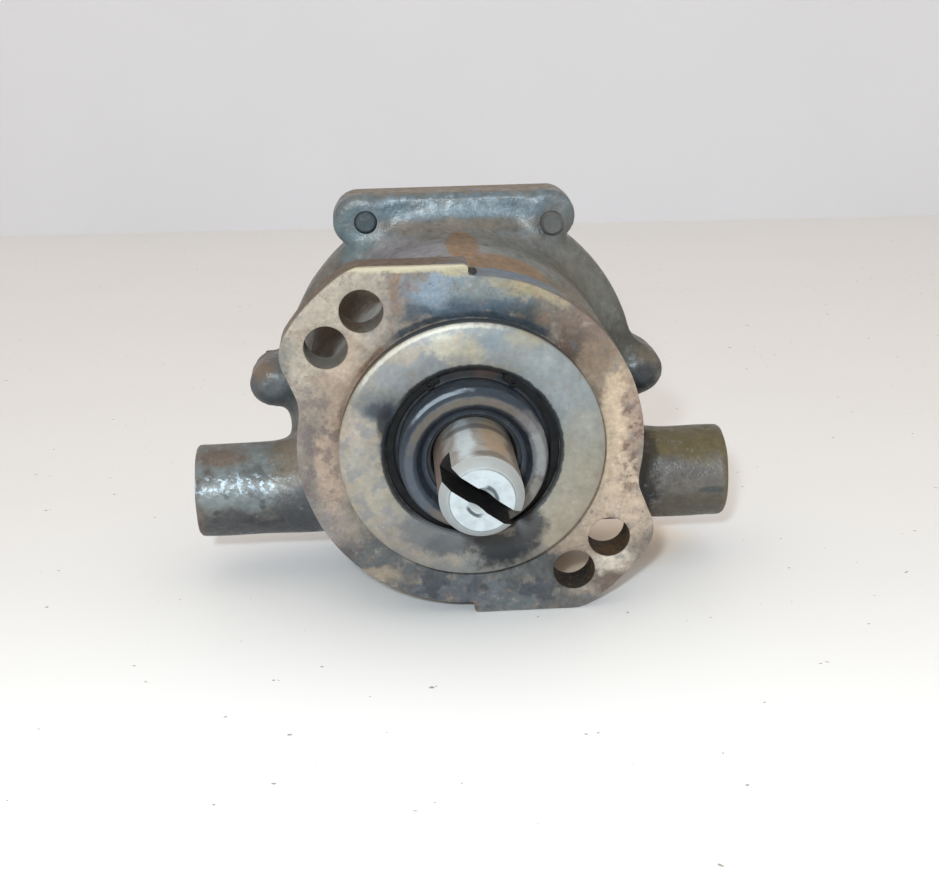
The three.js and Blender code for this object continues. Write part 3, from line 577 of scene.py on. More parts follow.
def shaft_side():
    p = Paint("turned_steel_side", wobble=0.8).base(srgb(200, 198, 196, 0.8), srgb(186, 180, 174, 0.8), 0.2)
    p.patches(
        ((-9, -18, 1), (2.8, 22, 6), (140, 116, 106, 0.8), 0.85),
        # A painted reflection: the bright bluish streak left of the middle.
        ((-3, -20, 9), (2.2, 14, 3), (226, 238, 246, 0.95), 0.9),
        ((4.5, -20, 8.5), (3.4, 14, 4), (206, 180, 150, 0.8), 0.8),
        # Darker brown-grey down the right side: painted shade, with brown.
        ((9, -20, 3), (2.4, 18, 6), (118, 100, 86, 0.8), 0.8),
        ((0, -12.5, 8), (10, 1.7, 6), (110, 104, 104, 0.8), 0.7),
        ((3, -30, 9), (5, 1.7, 3), (112, 108, 108, 0.8), 0.6),
    )
    p.mottle(0.5, 0.1, 4.0)
    return p.bump([(1.5, 0.004)]).done((0.32, 0.42), metallic=0.55)


def shaft_face():
    p = Paint("turned_steel_face", wobble=0.5).base(srgb(222, 232, 238, 0.5), srgb(206, 216, 222, 0.5), 0.5)
    out = p.vector("LENGTH", p.vector("MULTIPLY", p.place, (1, 0, 1)))
    grooves = p.step(p.math("SINE", p.math("MULTIPLY", out, 12.0)), -0.6, 0.9)
    p.lay(p.math("MULTIPLY", grooves, 0.08), srgb(150, 156, 160, 0.5))
    p.ring(8.6, 1.1, srgb(178, 182, 182, 0.5), 0.75, ragged=0.1)
    p.ring(7.35, 0.14, srgb(130, 136, 138, 0.5), 0.7, ragged=0.2)
    p.arc(3.3, 0.4, (2.5, SHAFT_END, 1.6), (2.4, 3, 2.6), srgb(66, 74, 82, 0.5), 0.9)
    p.arc(3.6, 0.4, (-2.2, SHAFT_END, -2.6), (2.0, 3, 1.8), srgb(50, 60, 66, 0.5), 0.9)
    p.speckle(1.2, 0.62, 0.74, srgb(150, 150, 150, 0.5), 0.4, 5.0)
    return p.bump([(4.0, 0.006)]).done((0.36, 0.48), metallic=0.35)


def housing_black():
    p = Paint("seal_housing_slate", wobble=1.0).base(srgb(58, 68, 82), srgb(76, 84, 92), 0.3)
    p.ring(17.2, 0.9, srgb(66, 78, 94), 0.7, (-13, -8))
    p.ring(15.4, 0.9, srgb(118, 108, 98), 0.85, (-13, -11.2))
    p.patches(
        ((-15, -11, -6), (5, 7, 10), (84, 96, 112), 0.8),
        ((15.4, -12, 4), (2.6, 3, 9), (160, 162, 164), 0.85, 0.5, 1.0),
        ((13, -12, 10), (4, 3, 3), (128, 124, 128), 0.7),
        ((14, -12, -9), (4, 3, 5), (146, 142, 136), 0.85),
    )
    # Dark slate in the funnel round the shaft: painted shade.
    p.ring(12.8, 1.2, srgb(30, 38, 50), 0.9, (-11.2, -7.5), 0.3)
    p.speckle(0.9, 0.6, 0.7, srgb(120, 112, 104), 0.4, 5.0)
    # A painted highlight: a thin pale arc on the front outer edge, upper left.
    p.arc(17.2, 0.3, (-8, -9, 15), (7, 3, 7), srgb(190, 206, 222), 0.8, (-10.5, -8.6))
    # Near black round the housing's flange: painted shade in the gap inside the bore.
    p.ring(19.6, 2.0, srgb(20, 20, 24), 0.97, (-3, 2), 0.2)
    p.patch((4, -1.3, 19), (3, 3, 1.9), srgb(84, 54, 42), 0.5)
    p.mottle(0.6, 0.15, 4.0)
    return p.bump([(0.9, 0.05), (3.0, 0.02)]).done((0.5, 0.65), specular=0.3)


LOOKS = {
    "flange": flange_paint(),
    "pilot": pilot_paint(),
    "casting": casting_paint("worn_casting_paint", (0.3, 0.5), 0.5),
    "recess": casting_paint("dirt_caked_casting_paint", (0.7, 0.85), 0.15),
    "cover": cover_paint(),
    "hole": hole_paint(),
    # Near black on the bore's walls and in the shaft's slot: painted shade.
    "bore": simple_paint(
        "bore_and_slot_painted_shade", srgb(22, 22, 26), srgb(34, 32, 34), (0.6, 0.8), 0.0,
        srgb(70, 52, 42), [(1.0, 0.08)], specular=0.2,
    ),
    "machined": simple_paint(
        "machined_casting", srgb(132, 126, 112), srgb(112, 104, 90), (0.4, 0.6), 0.5,
        srgb(86, 72, 56), [(1.5, 0.03)],
    ),
    "side": shaft_side(),
    "face": shaft_face(),
    "housing": housing_black(),
    "painted_end": screw_end_paint(),
    "screw": simple_paint(
        "aged_screw_steel", srgb(84, 74, 66), srgb(110, 100, 90), (0.4, 0.65), 0.55,
        srgb(120, 78, 48), [(1.0, 0.07), (3.5, 0.03)],
    ),
    "black_steel": simple_paint(
        "black_oxide_steel", srgb(18, 19, 22), srgb(26, 26, 30), (0.65, 0.8), 0.0,
        srgb(44, 38, 32), [(2.0, 0.02)], specular=0.2,
    ),
    "rubber": simple_paint(
        "seal_rubber_black", srgb(20, 22, 28), srgb(30, 32, 38), (0.6, 0.8), 0.0,
        srgb(54, 54, 56), [(2.0, 0.03)],
    ),
    "impeller": simple_paint(
        "impeller_rubber_black", srgb(30, 30, 33), srgb(44, 43, 44), (0.42, 0.6), 0.0,
        srgb(84, 80, 74), [(1.5, 0.03)],
    ),
    "bearing": simple_paint(
        "ground_bearing_steel", srgb(176, 178, 180), srgb(150, 152, 154), (0.18, 0.32), 1.0,
        srgb(120, 112, 102), [(2.5, 0.01)],
    ),
    "brass": simple_paint(
        "dull_brass", srgb(176, 140, 78), srgb(150, 118, 66), (0.3, 0.5), 0.95,
        srgb(104, 88, 58), [(1.6, 0.03)],
    ),
    "paper": simple_paint(
        "oily_gasket_paper", srgb(132, 100, 64), srgb(98, 72, 46), (0.7, 0.9), 0.0,
        srgb(60, 44, 30), [(1.2, 0.06), (4.0, 0.03)],
    ),
}


# ------------------------------------------------------------------ mesh work
def new_object(name, points, faces):
    mesh = bpy.data.meshes.new(name)
    mesh.from_pydata([tuple(v) for v in in_frame(points)], [], faces)
    thing = bpy.data.objects.new(name, mesh)
    bpy.context.scene.collection.objects.link(thing)
    return thing


def smooth(thing, angle=38):
    mesh = thing.data
    mesh.shade_smooth()
    mesh.set_sharp_from_angle(angle=math.radians(angle))
    return thing


def baked(thing):
    """The mesh with its modifiers applied."""
    graph = bpy.context.evaluated_depsgraph_get()
    mesh = bpy.data.meshes.new_from_object(thing.evaluated_get(graph))
    thing.modifiers.clear()
    thing.data = mesh
    mesh.name = thing.name
    return thing


def combine(thing, other, operation="DIFFERENCE"):
    before = len(thing.data.vertices)
    for solver in ("MANIFOLD", "EXACT"):
        tool = thing.modifiers.new("combine", "BOOLEAN")
        tool.object = other
        tool.operation = operation
        tool.solver = solver
        baked(thing)
        if len(thing.data.vertices) != before:
            break
    bpy.data.objects.remove(other)
    return thing


def lathe(profile, segments=96, phase=0.0):
    """Points and faces of a closed [radius, y] profile turned about the shaft's axis."""
    twice_area = sum(
        r0 * y1 - r1 * y0 for (r0, y0), (r1, y1) in zip(profile, profile[1:] + profile[:1])
    )
    profile = profile if twice_area > 0 else profile[::-1]
    points, rows = [], []
    for r, y in profile:
        if r < 1e-6:
            rows.append([len(points)] * segments)
            points.append((0, y, 0))
            continue
        rows.append(list(range(len(points), len(points) + segments)))
        for k in range(segments):
            x, z = polar(r, phase + 360 * k / segments)
            points.append((x, y, z))
    faces = []
    for here, there in zip(rows, rows[1:] + rows[:1]):
        for k in range(segments):
            n = (k + 1) % segments
            corners = [here[k], there[k], there[n], here[n]]
            kept = list(dict.fromkeys(corners))
            if len(kept) > 2:
                faces.append(kept)
    return points, faces


def soften(profile, size, steps=3):
    """The profile with each corner off the axis rounded by a short curve."""
    result = []
    count = len(profile)
    for i, corner in enumerate(profile):
        here = np.array(corner, float)
        if here[0] < 1e-6:
            result.append(tuple(here))
            continue
        ends = []
        for other in (profile[i - 1], profile[(i + 1) % count]):
            span = np.array(other, float) - here
            length = np.hypot(*span)
            ends.append(here + span / length * min(size, length * 0.4))
        for k in range(steps + 1):
            t = k / steps
            p = ends[0] * (1 - t) ** 2 + here * 2 * t * (1 - t) + ends[1] * t * t
            result.append((float(p[0]), float(p[1])))
    return result


def turned(name, profile, bevel=0.25, segments=96, phase=0.0):
    points, faces = lathe(soften(profile, bevel) if bevel else profile, segments, phase)
    return new_object(name, points, faces)


def rod_profile(r, y0, y1):
    return [(0, y0), (r, y0), (r, y1), (0, y1)]


def moved(thing, x=0, y=0, z=0):
    thing.data.transform(Matrix.Translation(Vector((x, y, z)) * MM))
    return thing


def turned_over(thing, angle, axis):
    """Turned about the mounting face's centre."""
    centre = Matrix.Translation((0, FACE_Y * MM, 0))
    thing.data.transform(centre @ Matrix.Rotation(math.radians(angle), 4, axis) @ centre.inverted())
    return thing


def finish_piece(thing, look, slot, body, *nodes, angle=38, pick=None):
    """Shades, colours and places a piece; pick names the look of each of its faces, by number."""
    smooth(thing, angle)
    mesh = thing.data
    mesh.materials.clear()
    for name in [look] if isinstance(look, str) else look:
        mesh.materials.append(LOOKS[name])
    if pick:
        count = len(mesh.polygons)
        centres, normals = np.empty(count * 3), np.empty(count * 3)
        mesh.polygons.foreach_get("center", centres)
        mesh.polygons.foreach_get("normal", normals)
        x, y, z = (centres.reshape(-1, 3) / MM - (0, FACE_Y, 0)).T
        mesh.polygons.foreach_set("material_index", pick(x, y, z, normals.reshape(-1, 3)))
    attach(thing, body)
    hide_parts(*nodes)
    return thing


# ------------------------------------------------------------------ smooth cast shapes
class Field:
    """A block of space in which cast shapes are blended; distances are in millimetres."""

    def __init__(self, low, high, step):
        self.low, self.step = np.array(low, float), step
        counts = [int(math.ceil((b - a) / step)) + 1 for a, b in zip(low, high)]
        axes = [a + step * np.arange(n, dtype=np.float32) for a, n in zip(low, counts)]
        self.x = axes[0][:, None, None]
        self.y = axes[1][None, :, None]
        self.z = axes[2][None, None, :]

    def mesh(self, values):
        """Points and quads of the surface where the values change sign (surface nets)."""
        inside = values < 0
        shape = np.array(values.shape) - 1
        total = np.zeros((*shape, 3), np.float32)
        count = np.zeros(shape, np.float32)
        for axis in range(3):
            for b in (0, 1):
                for c in (0, 1):
                    start = np.insert(np.array([b, c]), axis, 0)
                    near = tuple(slice(s, s + n) for s, n in zip(start, shape))
                    ahead = start + np.eye(3, dtype=int)[axis]
                    far = tuple(slice(s, s + n) for s, n in zip(ahead, shape))
                    crossed = inside[near] != inside[far]
                    v0, v1 = values[near][crossed], values[far][crossed]
                    at = np.tile(start.astype(np.float32), (len(v0), 1))
                    at[:, axis] += v0 / (v0 - v1)
                    total[crossed] += at
                    count[crossed] += 1
        used = count > 0
        index = np.full(shape, -1, np.int64)
        index[used] = np.arange(used.sum())
        cells = np.argwhere(used)
        points = (cells + total[used] / count[used][:, None]) * self.step + self.low
        quads = []
        for axis in range(3):
            lo = [1, 1, 1]
            lo[axis] = 0
            here = tuple(slice(s, n) for s, n in zip(lo, shape))
            ahead = tuple(slice(s + (a == axis), n + (a == axis)) for a, (s, n) in enumerate(zip(lo, shape)))
            a_in, b_in = inside[here], inside[ahead]
            edges = np.argwhere(a_in != b_in)
            flip = a_in[a_in != b_in]
            base = edges + np.array(lo)
            u, v = [np.eye(3, dtype=int)[(axis + k) % 3] for k in (1, 2)]
            ring = [base - u - v, base - v, base, base - u]
            quad = np.stack([index[tuple(r.T)] for r in ring], 1)
            quad[~flip] = quad[~flip][:, ::-1]
            quads.append(quad)
        return points, np.concatenate(quads).tolist()


def plate(outline, along, low, high, rounding):
    """A flat outline's distance made into that of a plate with rounded edges."""
    flat = outline + rounding
    thick = np.maximum(low - along, along - high) + rounding
    outside = np.hypot(np.maximum(flat, 0), np.maximum(thick, 0))
    return outside + np.minimum(np.maximum(flat, thick), 0) - rounding


def blend(a, b, reach):
    share = np.clip(0.5 + 0.5 * (b - a) / reach, 0, 1)
    return b * (1 - share) + a * share - reach * share * (1 - share)


def outline_distance(points, x, z):
    """Distance to a closed outline, below 0 inside, on the plane of x and z."""
    x, z = x[:, 0, :] + 0 * z[:, 0, :], z[:, 0, :] + 0 * x[:, 0, :]
    nearest = np.full(x.shape, 1e9, np.float32)
    inside = np.zeros(x.shape, bool)
    for (ax, az), (bx, bz) in zip(points, points[1:] + points[:1]):
        ex, ez = bx - ax, bz - az
        length = ex * ex + ez * ez
        if length < 1e-9:
            continue
        t = np.clip(((x - ax) * ex + (z - az) * ez) / length, 0, 1)
        nearest = np.minimum(nearest, (x - ax - t * ex) ** 2 + (z - az - t * ez) ** 2)
        if az != bz:
            crosses = ((az > z) != (bz > z)) & (x < ex * (z - az) / ez + ax)
            inside ^= crosses
    distance = np.sqrt(nearest)
    return np.where(inside, -distance, distance)[:, None, :]


def bezier(a, b, c, steps=6):
    spots = [k / steps for k in range(1, steps + 1)]
    return [
        tuple((1 - t) ** 2 * p + 2 * t * (1 - t) * q + t * t * r for p, q, r in zip(a, b, c))
        for t in spots
    ]


def flange_outline():
    """Half of the flange, from the top step round the ear to the bottom step, then its opposite."""
    flat_end = 180 - math.degrees(math.asin(EAR_FLAT / EAR_R))
    half = [(0, FLANGE_R), (0, EAR_FLAT), polar(EAR_R - 0.5, flat_end - 1)]
    half += [polar(EAR_R, flat_end + 2 + (145 - flat_end) * k / 10) for k in range(11)]
    half += bezier(half[-1], polar(51.6, 153), polar(47.4, 156.5))
    half += bezier(polar(43.6, 161.5), polar(42, 164.5), polar(FLANGE_R, 169))
    half += [polar(FLANGE_R, 170 + 99.5 * k / 40) for k in range(41)]
    return half + [(-x, -z) for x, z in half]


def cover_outline(x, z, inset=0.0):
    """Distance to the outline shared by the cover flange, the gasket and the cover."""
    result = np.hypot(x - REAR_SHIFT, z) - (REAR_R - inset)
    bridge_x, boss_z = polar(SCREW_CIRCLE, 60)
    half_high = boss_z + BOSS_R - inset
    bridge = np.maximum(np.abs(x) - bridge_x, np.abs(z) - half_high)
    result = blend(result, bridge, 1.5)
    for i in range(6):
        px, pz = polar(SCREW_CIRCLE, 60 * i)
        r = SIDE_BOSS_R if i % 3 == 0 else BOSS_R
        boss = np.hypot(x - px, z - pz) - (r - inset)
        result = blend(result, boss, 0.5 if i % 3 else 7.5)
    return np.maximum(result, np.abs(z) - half_high)


CAST_STEP = 0.7
# Metal left on the faces for the tools, the roundings of the casting's edges, and its fillets.
FRONT_STOCK, BACK_STOCK, PILOT_STOCK = 1.4, 2, 1
DRUM_ROUND, REAR_ROUND, BOSS_ROUND, SIDE_BOSS_ROUND = 0.5, 2.2, 2.4, 4.6
PORT_ROUND, FLANGE_ROUND = 1.3, 0.9
BOSS_FILLET, SIDE_BOSS_FILLET, REAR_FILLET, PORT_FILLET, FLANGE_FILLET = 2.5, 3, 9, 11, 2.5
SIDE_BOSS_FRONT = 50.4
# How far the casting's skin lies inside its true outline, and the height of its lumps.
SKIN_IN, LUMP_HIGH = 0.10, 0.10


def rough_casting():
    """The casting before machining, a little over size where a tool will face it."""
    field = Field((-72.2, -6.6, -52), (72.2, 63.5, 52), CAST_STEP)
    x, y, z = field.x, field.y, field.z
    out = np.hypot(x, z)
    swell = np.clip((y - NECK_END) / (DRUM_START - NECK_END), 0, 1)
    radius = NECK_R + (DRUM_R - NECK_R) * swell * swell * (3 - 2 * swell)
    drum = plate(out - radius, y, 2, REAR_BACK, DRUM_ROUND)
    back = REAR_BACK + BACK_STOCK
    rear = plate(cover_outline(x, z), y, REAR_FRONT, back, REAR_ROUND)
    for i in (1, 2, 4, 5):
        px, pz = polar(SCREW_CIRCLE, 60 * i)
        boss = plate(np.hypot(x - px, z - pz) - BOSS_R, y, BOSS_FRONT, back, BOSS_ROUND)
        rear = blend(rear, boss, BOSS_FILLET)
    for side in (-1, 1):
        outline = np.hypot(x - side * SCREW_CIRCLE, z) - SIDE_BOSS_R
        boss = plate(outline, y, SIDE_BOSS_FRONT, back, SIDE_BOSS_ROUND)
        rear = blend(rear, boss, SIDE_BOSS_FILLET)
    rear = np.maximum(rear, cover_outline(x, z))
    shape = blend(drum, rear, REAR_FILLET)
    lying = np.hypot(y - PORT_Y, z - PORT_Z)
    ports = plate(lying - PORT_R, x, -PORT_END, PORT_END, PORT_ROUND)
    shape = blend(shape, ports, PORT_FILLET)
    outline = outline_distance(flange_outline(), x, z)
    flange = plate(outline, y, -FRONT_STOCK, FLANGE_THICK, FLANGE_ROUND)
    shape = blend(shape, flange, FLANGE_FILLET)
    pilot = plate(out - PILOT_R - PILOT_STOCK, y, -PILOT_HIGH - PILOT_STOCK, 4, 0.5)
    shape = np.minimum(shape, pilot)
    half_high = polar(SCREW_CIRCLE, 60)[1] + BOSS_R
    shape = np.maximum(shape, np.maximum(y - REAR_BACK - FRONT_STOCK, np.abs(z) - half_high))
    lumps = LUMP_HIGH * np.sin(0.31 * x + 1.3 * np.sin(0.23 * z))
    lumps = lumps * np.sin(0.37 * y + 0.9 * np.sin(0.29 * x))
    lumps = lumps * np.sin(0.33 * z + 1.1 * np.sin(0.21 * y))
    return field.mesh((shape + SKIN_IN + lumps).astype(np.float32))


def bearing_bore_profile():
    groove = BEARING_R + 1.2
    return [
        (0, -12), (BEARING_R + 0.6, -12), (BEARING_R + 0.6, -PILOT_HIGH), (BEARING_R, -PILOT_HIGH + 0.6),
        (BEARING_R, -3), (groove, -3), (groove, -1.6), (BEARING_R, -1.6), (BEARING_R, BORE_END),
        (12, BORE_END), (12, 27), (14.3, 27), (14.3, CHAMBER_FLOOR),
        (CHAMBER_R, CHAMBER_FLOOR), (CHAMBER_R, 64), (0, 64),
    ]


def facing_profile():
    """What a lathe takes off the front: the pilot's face and side, and the mounting face."""
    return [
        (BEARING_R - 4, -12), (BEARING_R - 4, -PILOT_HIGH), (PILOT_R - 0.5, -PILOT_HIGH),
        (PILOT_R, -PILOT_HIGH + 0.5), (PILOT_R, -0.5), (PILOT_R - 0.5, -0.3), (PILOT_R - 0.5, 0.35),
        (PILOT_R + 0.3, 0.35), (PILOT_R + 0.6, 0), (80, 0), (80, -12),
    ]


def thread_profile(r, depth, start, end, pitch):
    """Half of a screw thread's outline along y, as rings."""
    turns = int((end - start) / pitch)
    points = []
    for k in range(turns):
        points += [(r - depth, start + pitch * k), (r, start + pitch * (k + 0.5))]
    return points


def port_tool(side):
    end = PORT_END
    mouth = [(9.4, end + 2), (9.4, end), (8.7, end - 0.7)]
    thread = thread_profile(8.6, 0.7, end - 19, end - 1.4, 1.41)[::-1]
    profile = [(0, end + 2), *mouth, *thread, (7.2, end - 20), (7.2, 16), (0, 16)]
    tool = turned("port_tool", profile, 0, 56)
    turned_over(tool, -90 * side, "Z")
    return moved(tool, 0, PORT_Y, PORT_Z)


def hole_tool(r, y0, y1, x, z, chamfer=0.0, segments=48):
    if chamfer:
        profile = [(0, y0), (r + chamfer + 1, y0), (r, y0 + chamfer + 1)]
    else:
        profile = [(0, y0), (r, y0)]
    profile += [(r, y1), (0, y1)]
    return moved(turned("hole_tool", profile, 0, segments), x, 0, z)


def make_casting():
    body = new_object("body_casting", *rough_casting())
    combine(body, turned("facing_tool", facing_profile(), 0, 180))
    combine(body, turned("back_tool", [(0, REAR_BACK), (90, REAR_BACK), (90, 80), (0, 80)], 0, 64))
    combine(body, turned("bore_tool", bearing_bore_profile(), 0, 128))
    for side in (-1, 1):
        combine(body, port_tool(side))
    for angle in BOLT_ANGLES:
        x, z = polar(BOLT_CIRCLE, angle)
        combine(body, hole_tool(BOLT_R, -1, FLANGE_THICK + 4, x, z, 0.25))
    for i in range(6):
        x, z = screw_place(i)
        combine(body, hole_tool(3.04, 46 if i % 3 else 53, 70, x, z, 0, 40))
    weep = turned_over(turned("weep_tool", rod_profile(1.8, 11, 46), 0, 24), -90, "X")
    combine(body, moved(weep, 0, 26, 0))
    seat = turned("seat_tool", [(0, 31), (2.3, 31), (2.3, 41.2), (4.8, 41.2), (4.8, 46), (0, 46)], 0, 32)
    combine(body, moved(turned_over(seat, -90, "X"), 0, 48, 0))
    return body


CASTING_LOOKS = ["casting", "flange", "pilot", "hole", "bore", "machined", "recess"]
# The centre and radii of the dull, greasy place on the drum behind the upper ear.
RECESS_AT, RECESS_RADII = (-31, 30, 22), (15, 24, 14)


def casting_look(x, y, z, normal):
    out = np.hypot(x, z)
    look = np.zeros(len(x), int)
    spans = [(v - c) / r for v, c, r in zip((x, y, z), RECESS_AT, RECESS_RADII)]
    look[sum(span**2 for span in spans) < 1] = 6
    look[(y < FLANGE_THICK + 0.4) & (out > PILOT_R - 0.7)] = 1
    look[(y < -0.2) & (out < PILOT_R + 0.2)] = 2
    for angle in BOLT_ANGLES:
        px, pz = polar(BOLT_CIRCLE, angle)
        near = np.hypot(x - px, z - pz) < BOLT_R + 0.05
        look[near & (y > 0.2) & (y < FLANGE_THICK + 1)] = 3
    # The bore's walls take the near-black painted shade.
    look[(out < BEARING_R + 1.3) & (y > -PILOT_HIGH + 0.7)] = 4
    port = np.hypot(y - PORT_Y, z - PORT_Z) < 9.2
    look[port & (np.abs(x) < PORT_END - 0.2)] = 5
    look[(out < CHAMBER_R + 0.1) & (y > CHAMBER_FLOOR - 0.1)] = 5
    look[y > REAR_BACK - 0.05] = 5
    return look


body = make_casting()
finish_piece(
    body, CASTING_LOOKS, "painted_casting", "housing", "pump_body", angle=50, pick=casting_look
)


# ------------------------------------------------------------------ cover, gasket, screws
def make_cover():
    field = Field((-57, 60.5, -51), (57, 70, 51), CAST_STEP)
    x, y, z = field.x, field.y, field.z
    rim = plate(cover_outline(x, z, 0.4), y, GASKET_BACK - 1, COVER_BACK, 1.4)
    pad = plate(np.hypot(x, z) - 33, y, 62, COVER_BACK + 1.5, 1.0)
    cover = new_object("end_cover_plate", *field.mesh((blend(rim, pad, 1.5) + 0.08).astype(np.float32)))
    combine(cover, turned("face_tool", [(0, 50), (90, 50), (90, GASKET_BACK), (0, GASKET_BACK)], 0, 64))
    for i in range(6):
        x, z = screw_place(i)
        combine(cover, hole_tool(3.3, 55, 80, x, z, 0, 32))
    return finish_piece(cover, "cover", "cover_paint", "housing", "end_cover", angle=50)


def make_gasket():
    field = Field((-57, 60, -51), (57, 63, 51), 0.4)
    x, y, z = field.x, field.y, field.z
    ragged = 0.35 * np.sin(0.9 * x + 2 * np.sin(0.5 * z)) * np.sin(0.8 * z + 2 * np.sin(0.6 * x))
    flat = np.maximum(cover_outline(x, z, 0.7) + ragged, 33.4 - np.hypot(x, z))
    for i in range(6):
        px, pz = screw_place(i)
        flat = np.maximum(flat, 3.4 - np.hypot(x - px, z - pz))
    shape = plate(flat, y, REAR_BACK + 0.02, GASKET_BACK - 0.02, 0.1)
    sheet = new_object("cover_gasket_sheet", *field.mesh(shape.astype(np.float32)))
    return finish_piece(sheet, "paper", "paper", "housing", "cover_gasket", angle=60)


def hexagon_head(name, low, high, r):
    """A hexagonal head with its top corners turned down to a cone, as on a real bolt."""
    hexagon = turned(name, [(0, low), (r, low), (r, high), (0, high)], 0, 6)
    outline = [(0, low - 1), (r + 2, low - 1), (r + 0.5, high - 1.0), (r - 0.9, high), (0, high)]
    return combine(hexagon, turned("cone", outline, 0, 64), "INTERSECT")


def make_screw(number):
    x, z = screw_place(number)
    end = SCREW_ENDS[number]
    profile = [(0, end), (2.2, end), (2.6, end + 0.35)]
    profile += thread_profile(2.98, 0.45, end + 0.7, 64, 1.27)
    profile += [(2.9, 65), (2.9, HEAD_FRONT + 0.4), (0, HEAD_FRONT + 0.4)]
    screw = turned("cover_bolt_%d" % (number + 1), profile, 0, 40)
    combine(screw, hexagon_head("head", HEAD_FRONT, PUMP_BACK, 4.7), "UNION")
    moved(screw, x, 0, z)
    finish_piece(
        screw, ["screw", "painted_end"], "screw_steel", "housing", "cover_screw_%d" % (number + 1),
        angle=30, pick=lambda x, y, z, normal: (y < BOSS_FRONT + 3).astype(int),
    )
    ring = soften([(3.2, COVER_BACK), (4.8, COVER_BACK), (4.8, HEAD_FRONT), (3.2, HEAD_FRONT)], 0.3)
    washer = slit_ring("lock_washer_%d" % (number + 1), ring, 8)
    moved(washer, x, 0, z)
    finish_piece(washer, "screw", "screw_steel", "housing", "spring_washer_%d" % (number + 1))


def slit_ring(name, section, gap, steps=72, rise=0.0):
    """A ring of the given section, open over a gap of so many degrees about straight up."""
    start, span = 90 + gap / 2, 360 - gap
    points, faces = [], []
    count = len(section)
    for k in range(steps + 1):
        angle = start + span * k / steps
        for r, y in section:
            x, z = polar(r, angle)
            points.append((x, y + rise * (k / steps - 0.5), z))
    for k in range(steps):
        for j in range(count):
            n = (j + 1) % count
            a, b = k * count, (k + 1) * count
            faces.append([a + j, b + j, b + n, a + n])
    faces.append(list(range(count)))
    faces.append([steps * count + j for j in reversed(range(count))])
    thing = new_object(name, points, faces)
    tidy_normals(thing)
    return thing


def tidy_normals(thing):
    work = bmesh.new()
    work.from_mesh(thing.data)
    bmesh.ops.recalc_face_normals(work, faces=work.faces)
    work.to_mesh(thing.data)
    work.free()


make_cover()
make_gasket()
for index in range(6):
    make_screw(index)


# ------------------------------------------------------------------ shaft
def make_shaft():
    r, thin = SHAFT_R, 8.0
    profile = [
        (0, SHAFT_END), (7.25, SHAFT_END), (7.5, SHAFT_END + 0.15), (r - 0.15, SHAFT_END + 2.35),
        (r, SHAFT_END + 2.6), (r, -0.9), (8.7, -0.9), (8.7, 0.4), (r, 0.4), (r, 24.7), (r - 0.2, 24.9),
        (thin, 24.9), (thin, 56.3), (7.3, 56.3), (7.3, 57.6), (thin, 57.6), (7.7, SHAFT_BACK),
        (0, SHAFT_BACK),
    ]
    shaft = turned("drive_shaft_steel", profile, 0, 128)
    slot = box_tool(-20, 20, SHAFT_END - 3, SHAFT_END + SLOT_DEEP, -SLOT_WIDE / 2, SLOT_WIDE / 2)
    combine(shaft, turned_over(slot, -SLOT_ANGLE, "Y"))
    drill = [(0, -1), (3.1, -1), (3.1, 0), (0.9, 2.4), (0, 4)]
    drill = [(radius, SHAFT_END + deep) for radius, deep in drill]
    combine(shaft, turned("drill_tool", drill, 0, 64))
    combine(shaft, box_tool(-2.2, 2.2, 37.5, 54.5, 5.8, 12))
    return finish_piece(
        shaft, ["side", "face", "bore"], "shaft_steel", "rotor", "drive_shaft", angle=30, pick=shaft_look
    )


def shaft_look(x, y, z, normal):
    look = np.zeros(len(x), int)
    across = x * math.sin(math.radians(SLOT_ANGLE)) - z * math.cos(math.radians(SLOT_ANGLE))
    cone = (normal[:, 1] < -0.3) & (y < SHAFT_END + 5)
    # The slot's walls take the near-black painted shade.
    look[(y < SHAFT_END + SLOT_DEEP + 0.1) & (np.abs(across) < SLOT_WIDE / 2 + 0.02) & ~cone] = 2
    look[(y < SHAFT_END + 2.5) & (normal[:, 1] < -0.3) & (look == 0)] = 1
    return look


def box_tool(x0, x1, y0, y1, z0, z1):
    corners = [(x, y, z) for x in (x0, x1) for y in (y0, y1) for z in (z0, z1)]
    faces = [(0, 1, 3, 2), (4, 6, 7, 5), (0, 4, 5, 1), (2, 3, 7, 6), (0, 2, 6, 4), (1, 5, 7, 3)]
    return new_object("box_tool", corners, faces)


make_shaft()


# ------------------------------------------------------------------ seals, rings and bearings
def arc(cx, cy, r, start, end, steps):
    spots = [start + (end - start) * k / steps for k in range(steps + 1)]
    return [(cx + polar(r, a)[0], cy + polar(r, a)[1]) for a in spots]


def make_seal_housing():
    profile = [
        (12.4, -9.4), (14.2, -12.0), (14.6, -12.3), (16.2, -12.3), (16.6, -12.0), (17.4, -9.2),
        (17.6, -8.7), (17.6, -1.3), (20.3, -1.3), (20.3, 0.2), (14.8, 0.2), (14.8, -7.9),
        (11.2, -7.9), (11.2, -9.3),
    ]
    thing = turned("seal_housing_ring", profile, 0.15, 128)
    finish_piece(thing, "housing", "dark_steel", "housing", "seal_housing", angle=35)


def ring_piece(name, profile, bevel, look, slot, body, node, segments=96):
    thing = turned(name, profile, bevel, segments)
    return finish_piece(thing, look, slot, body, node, angle=35)


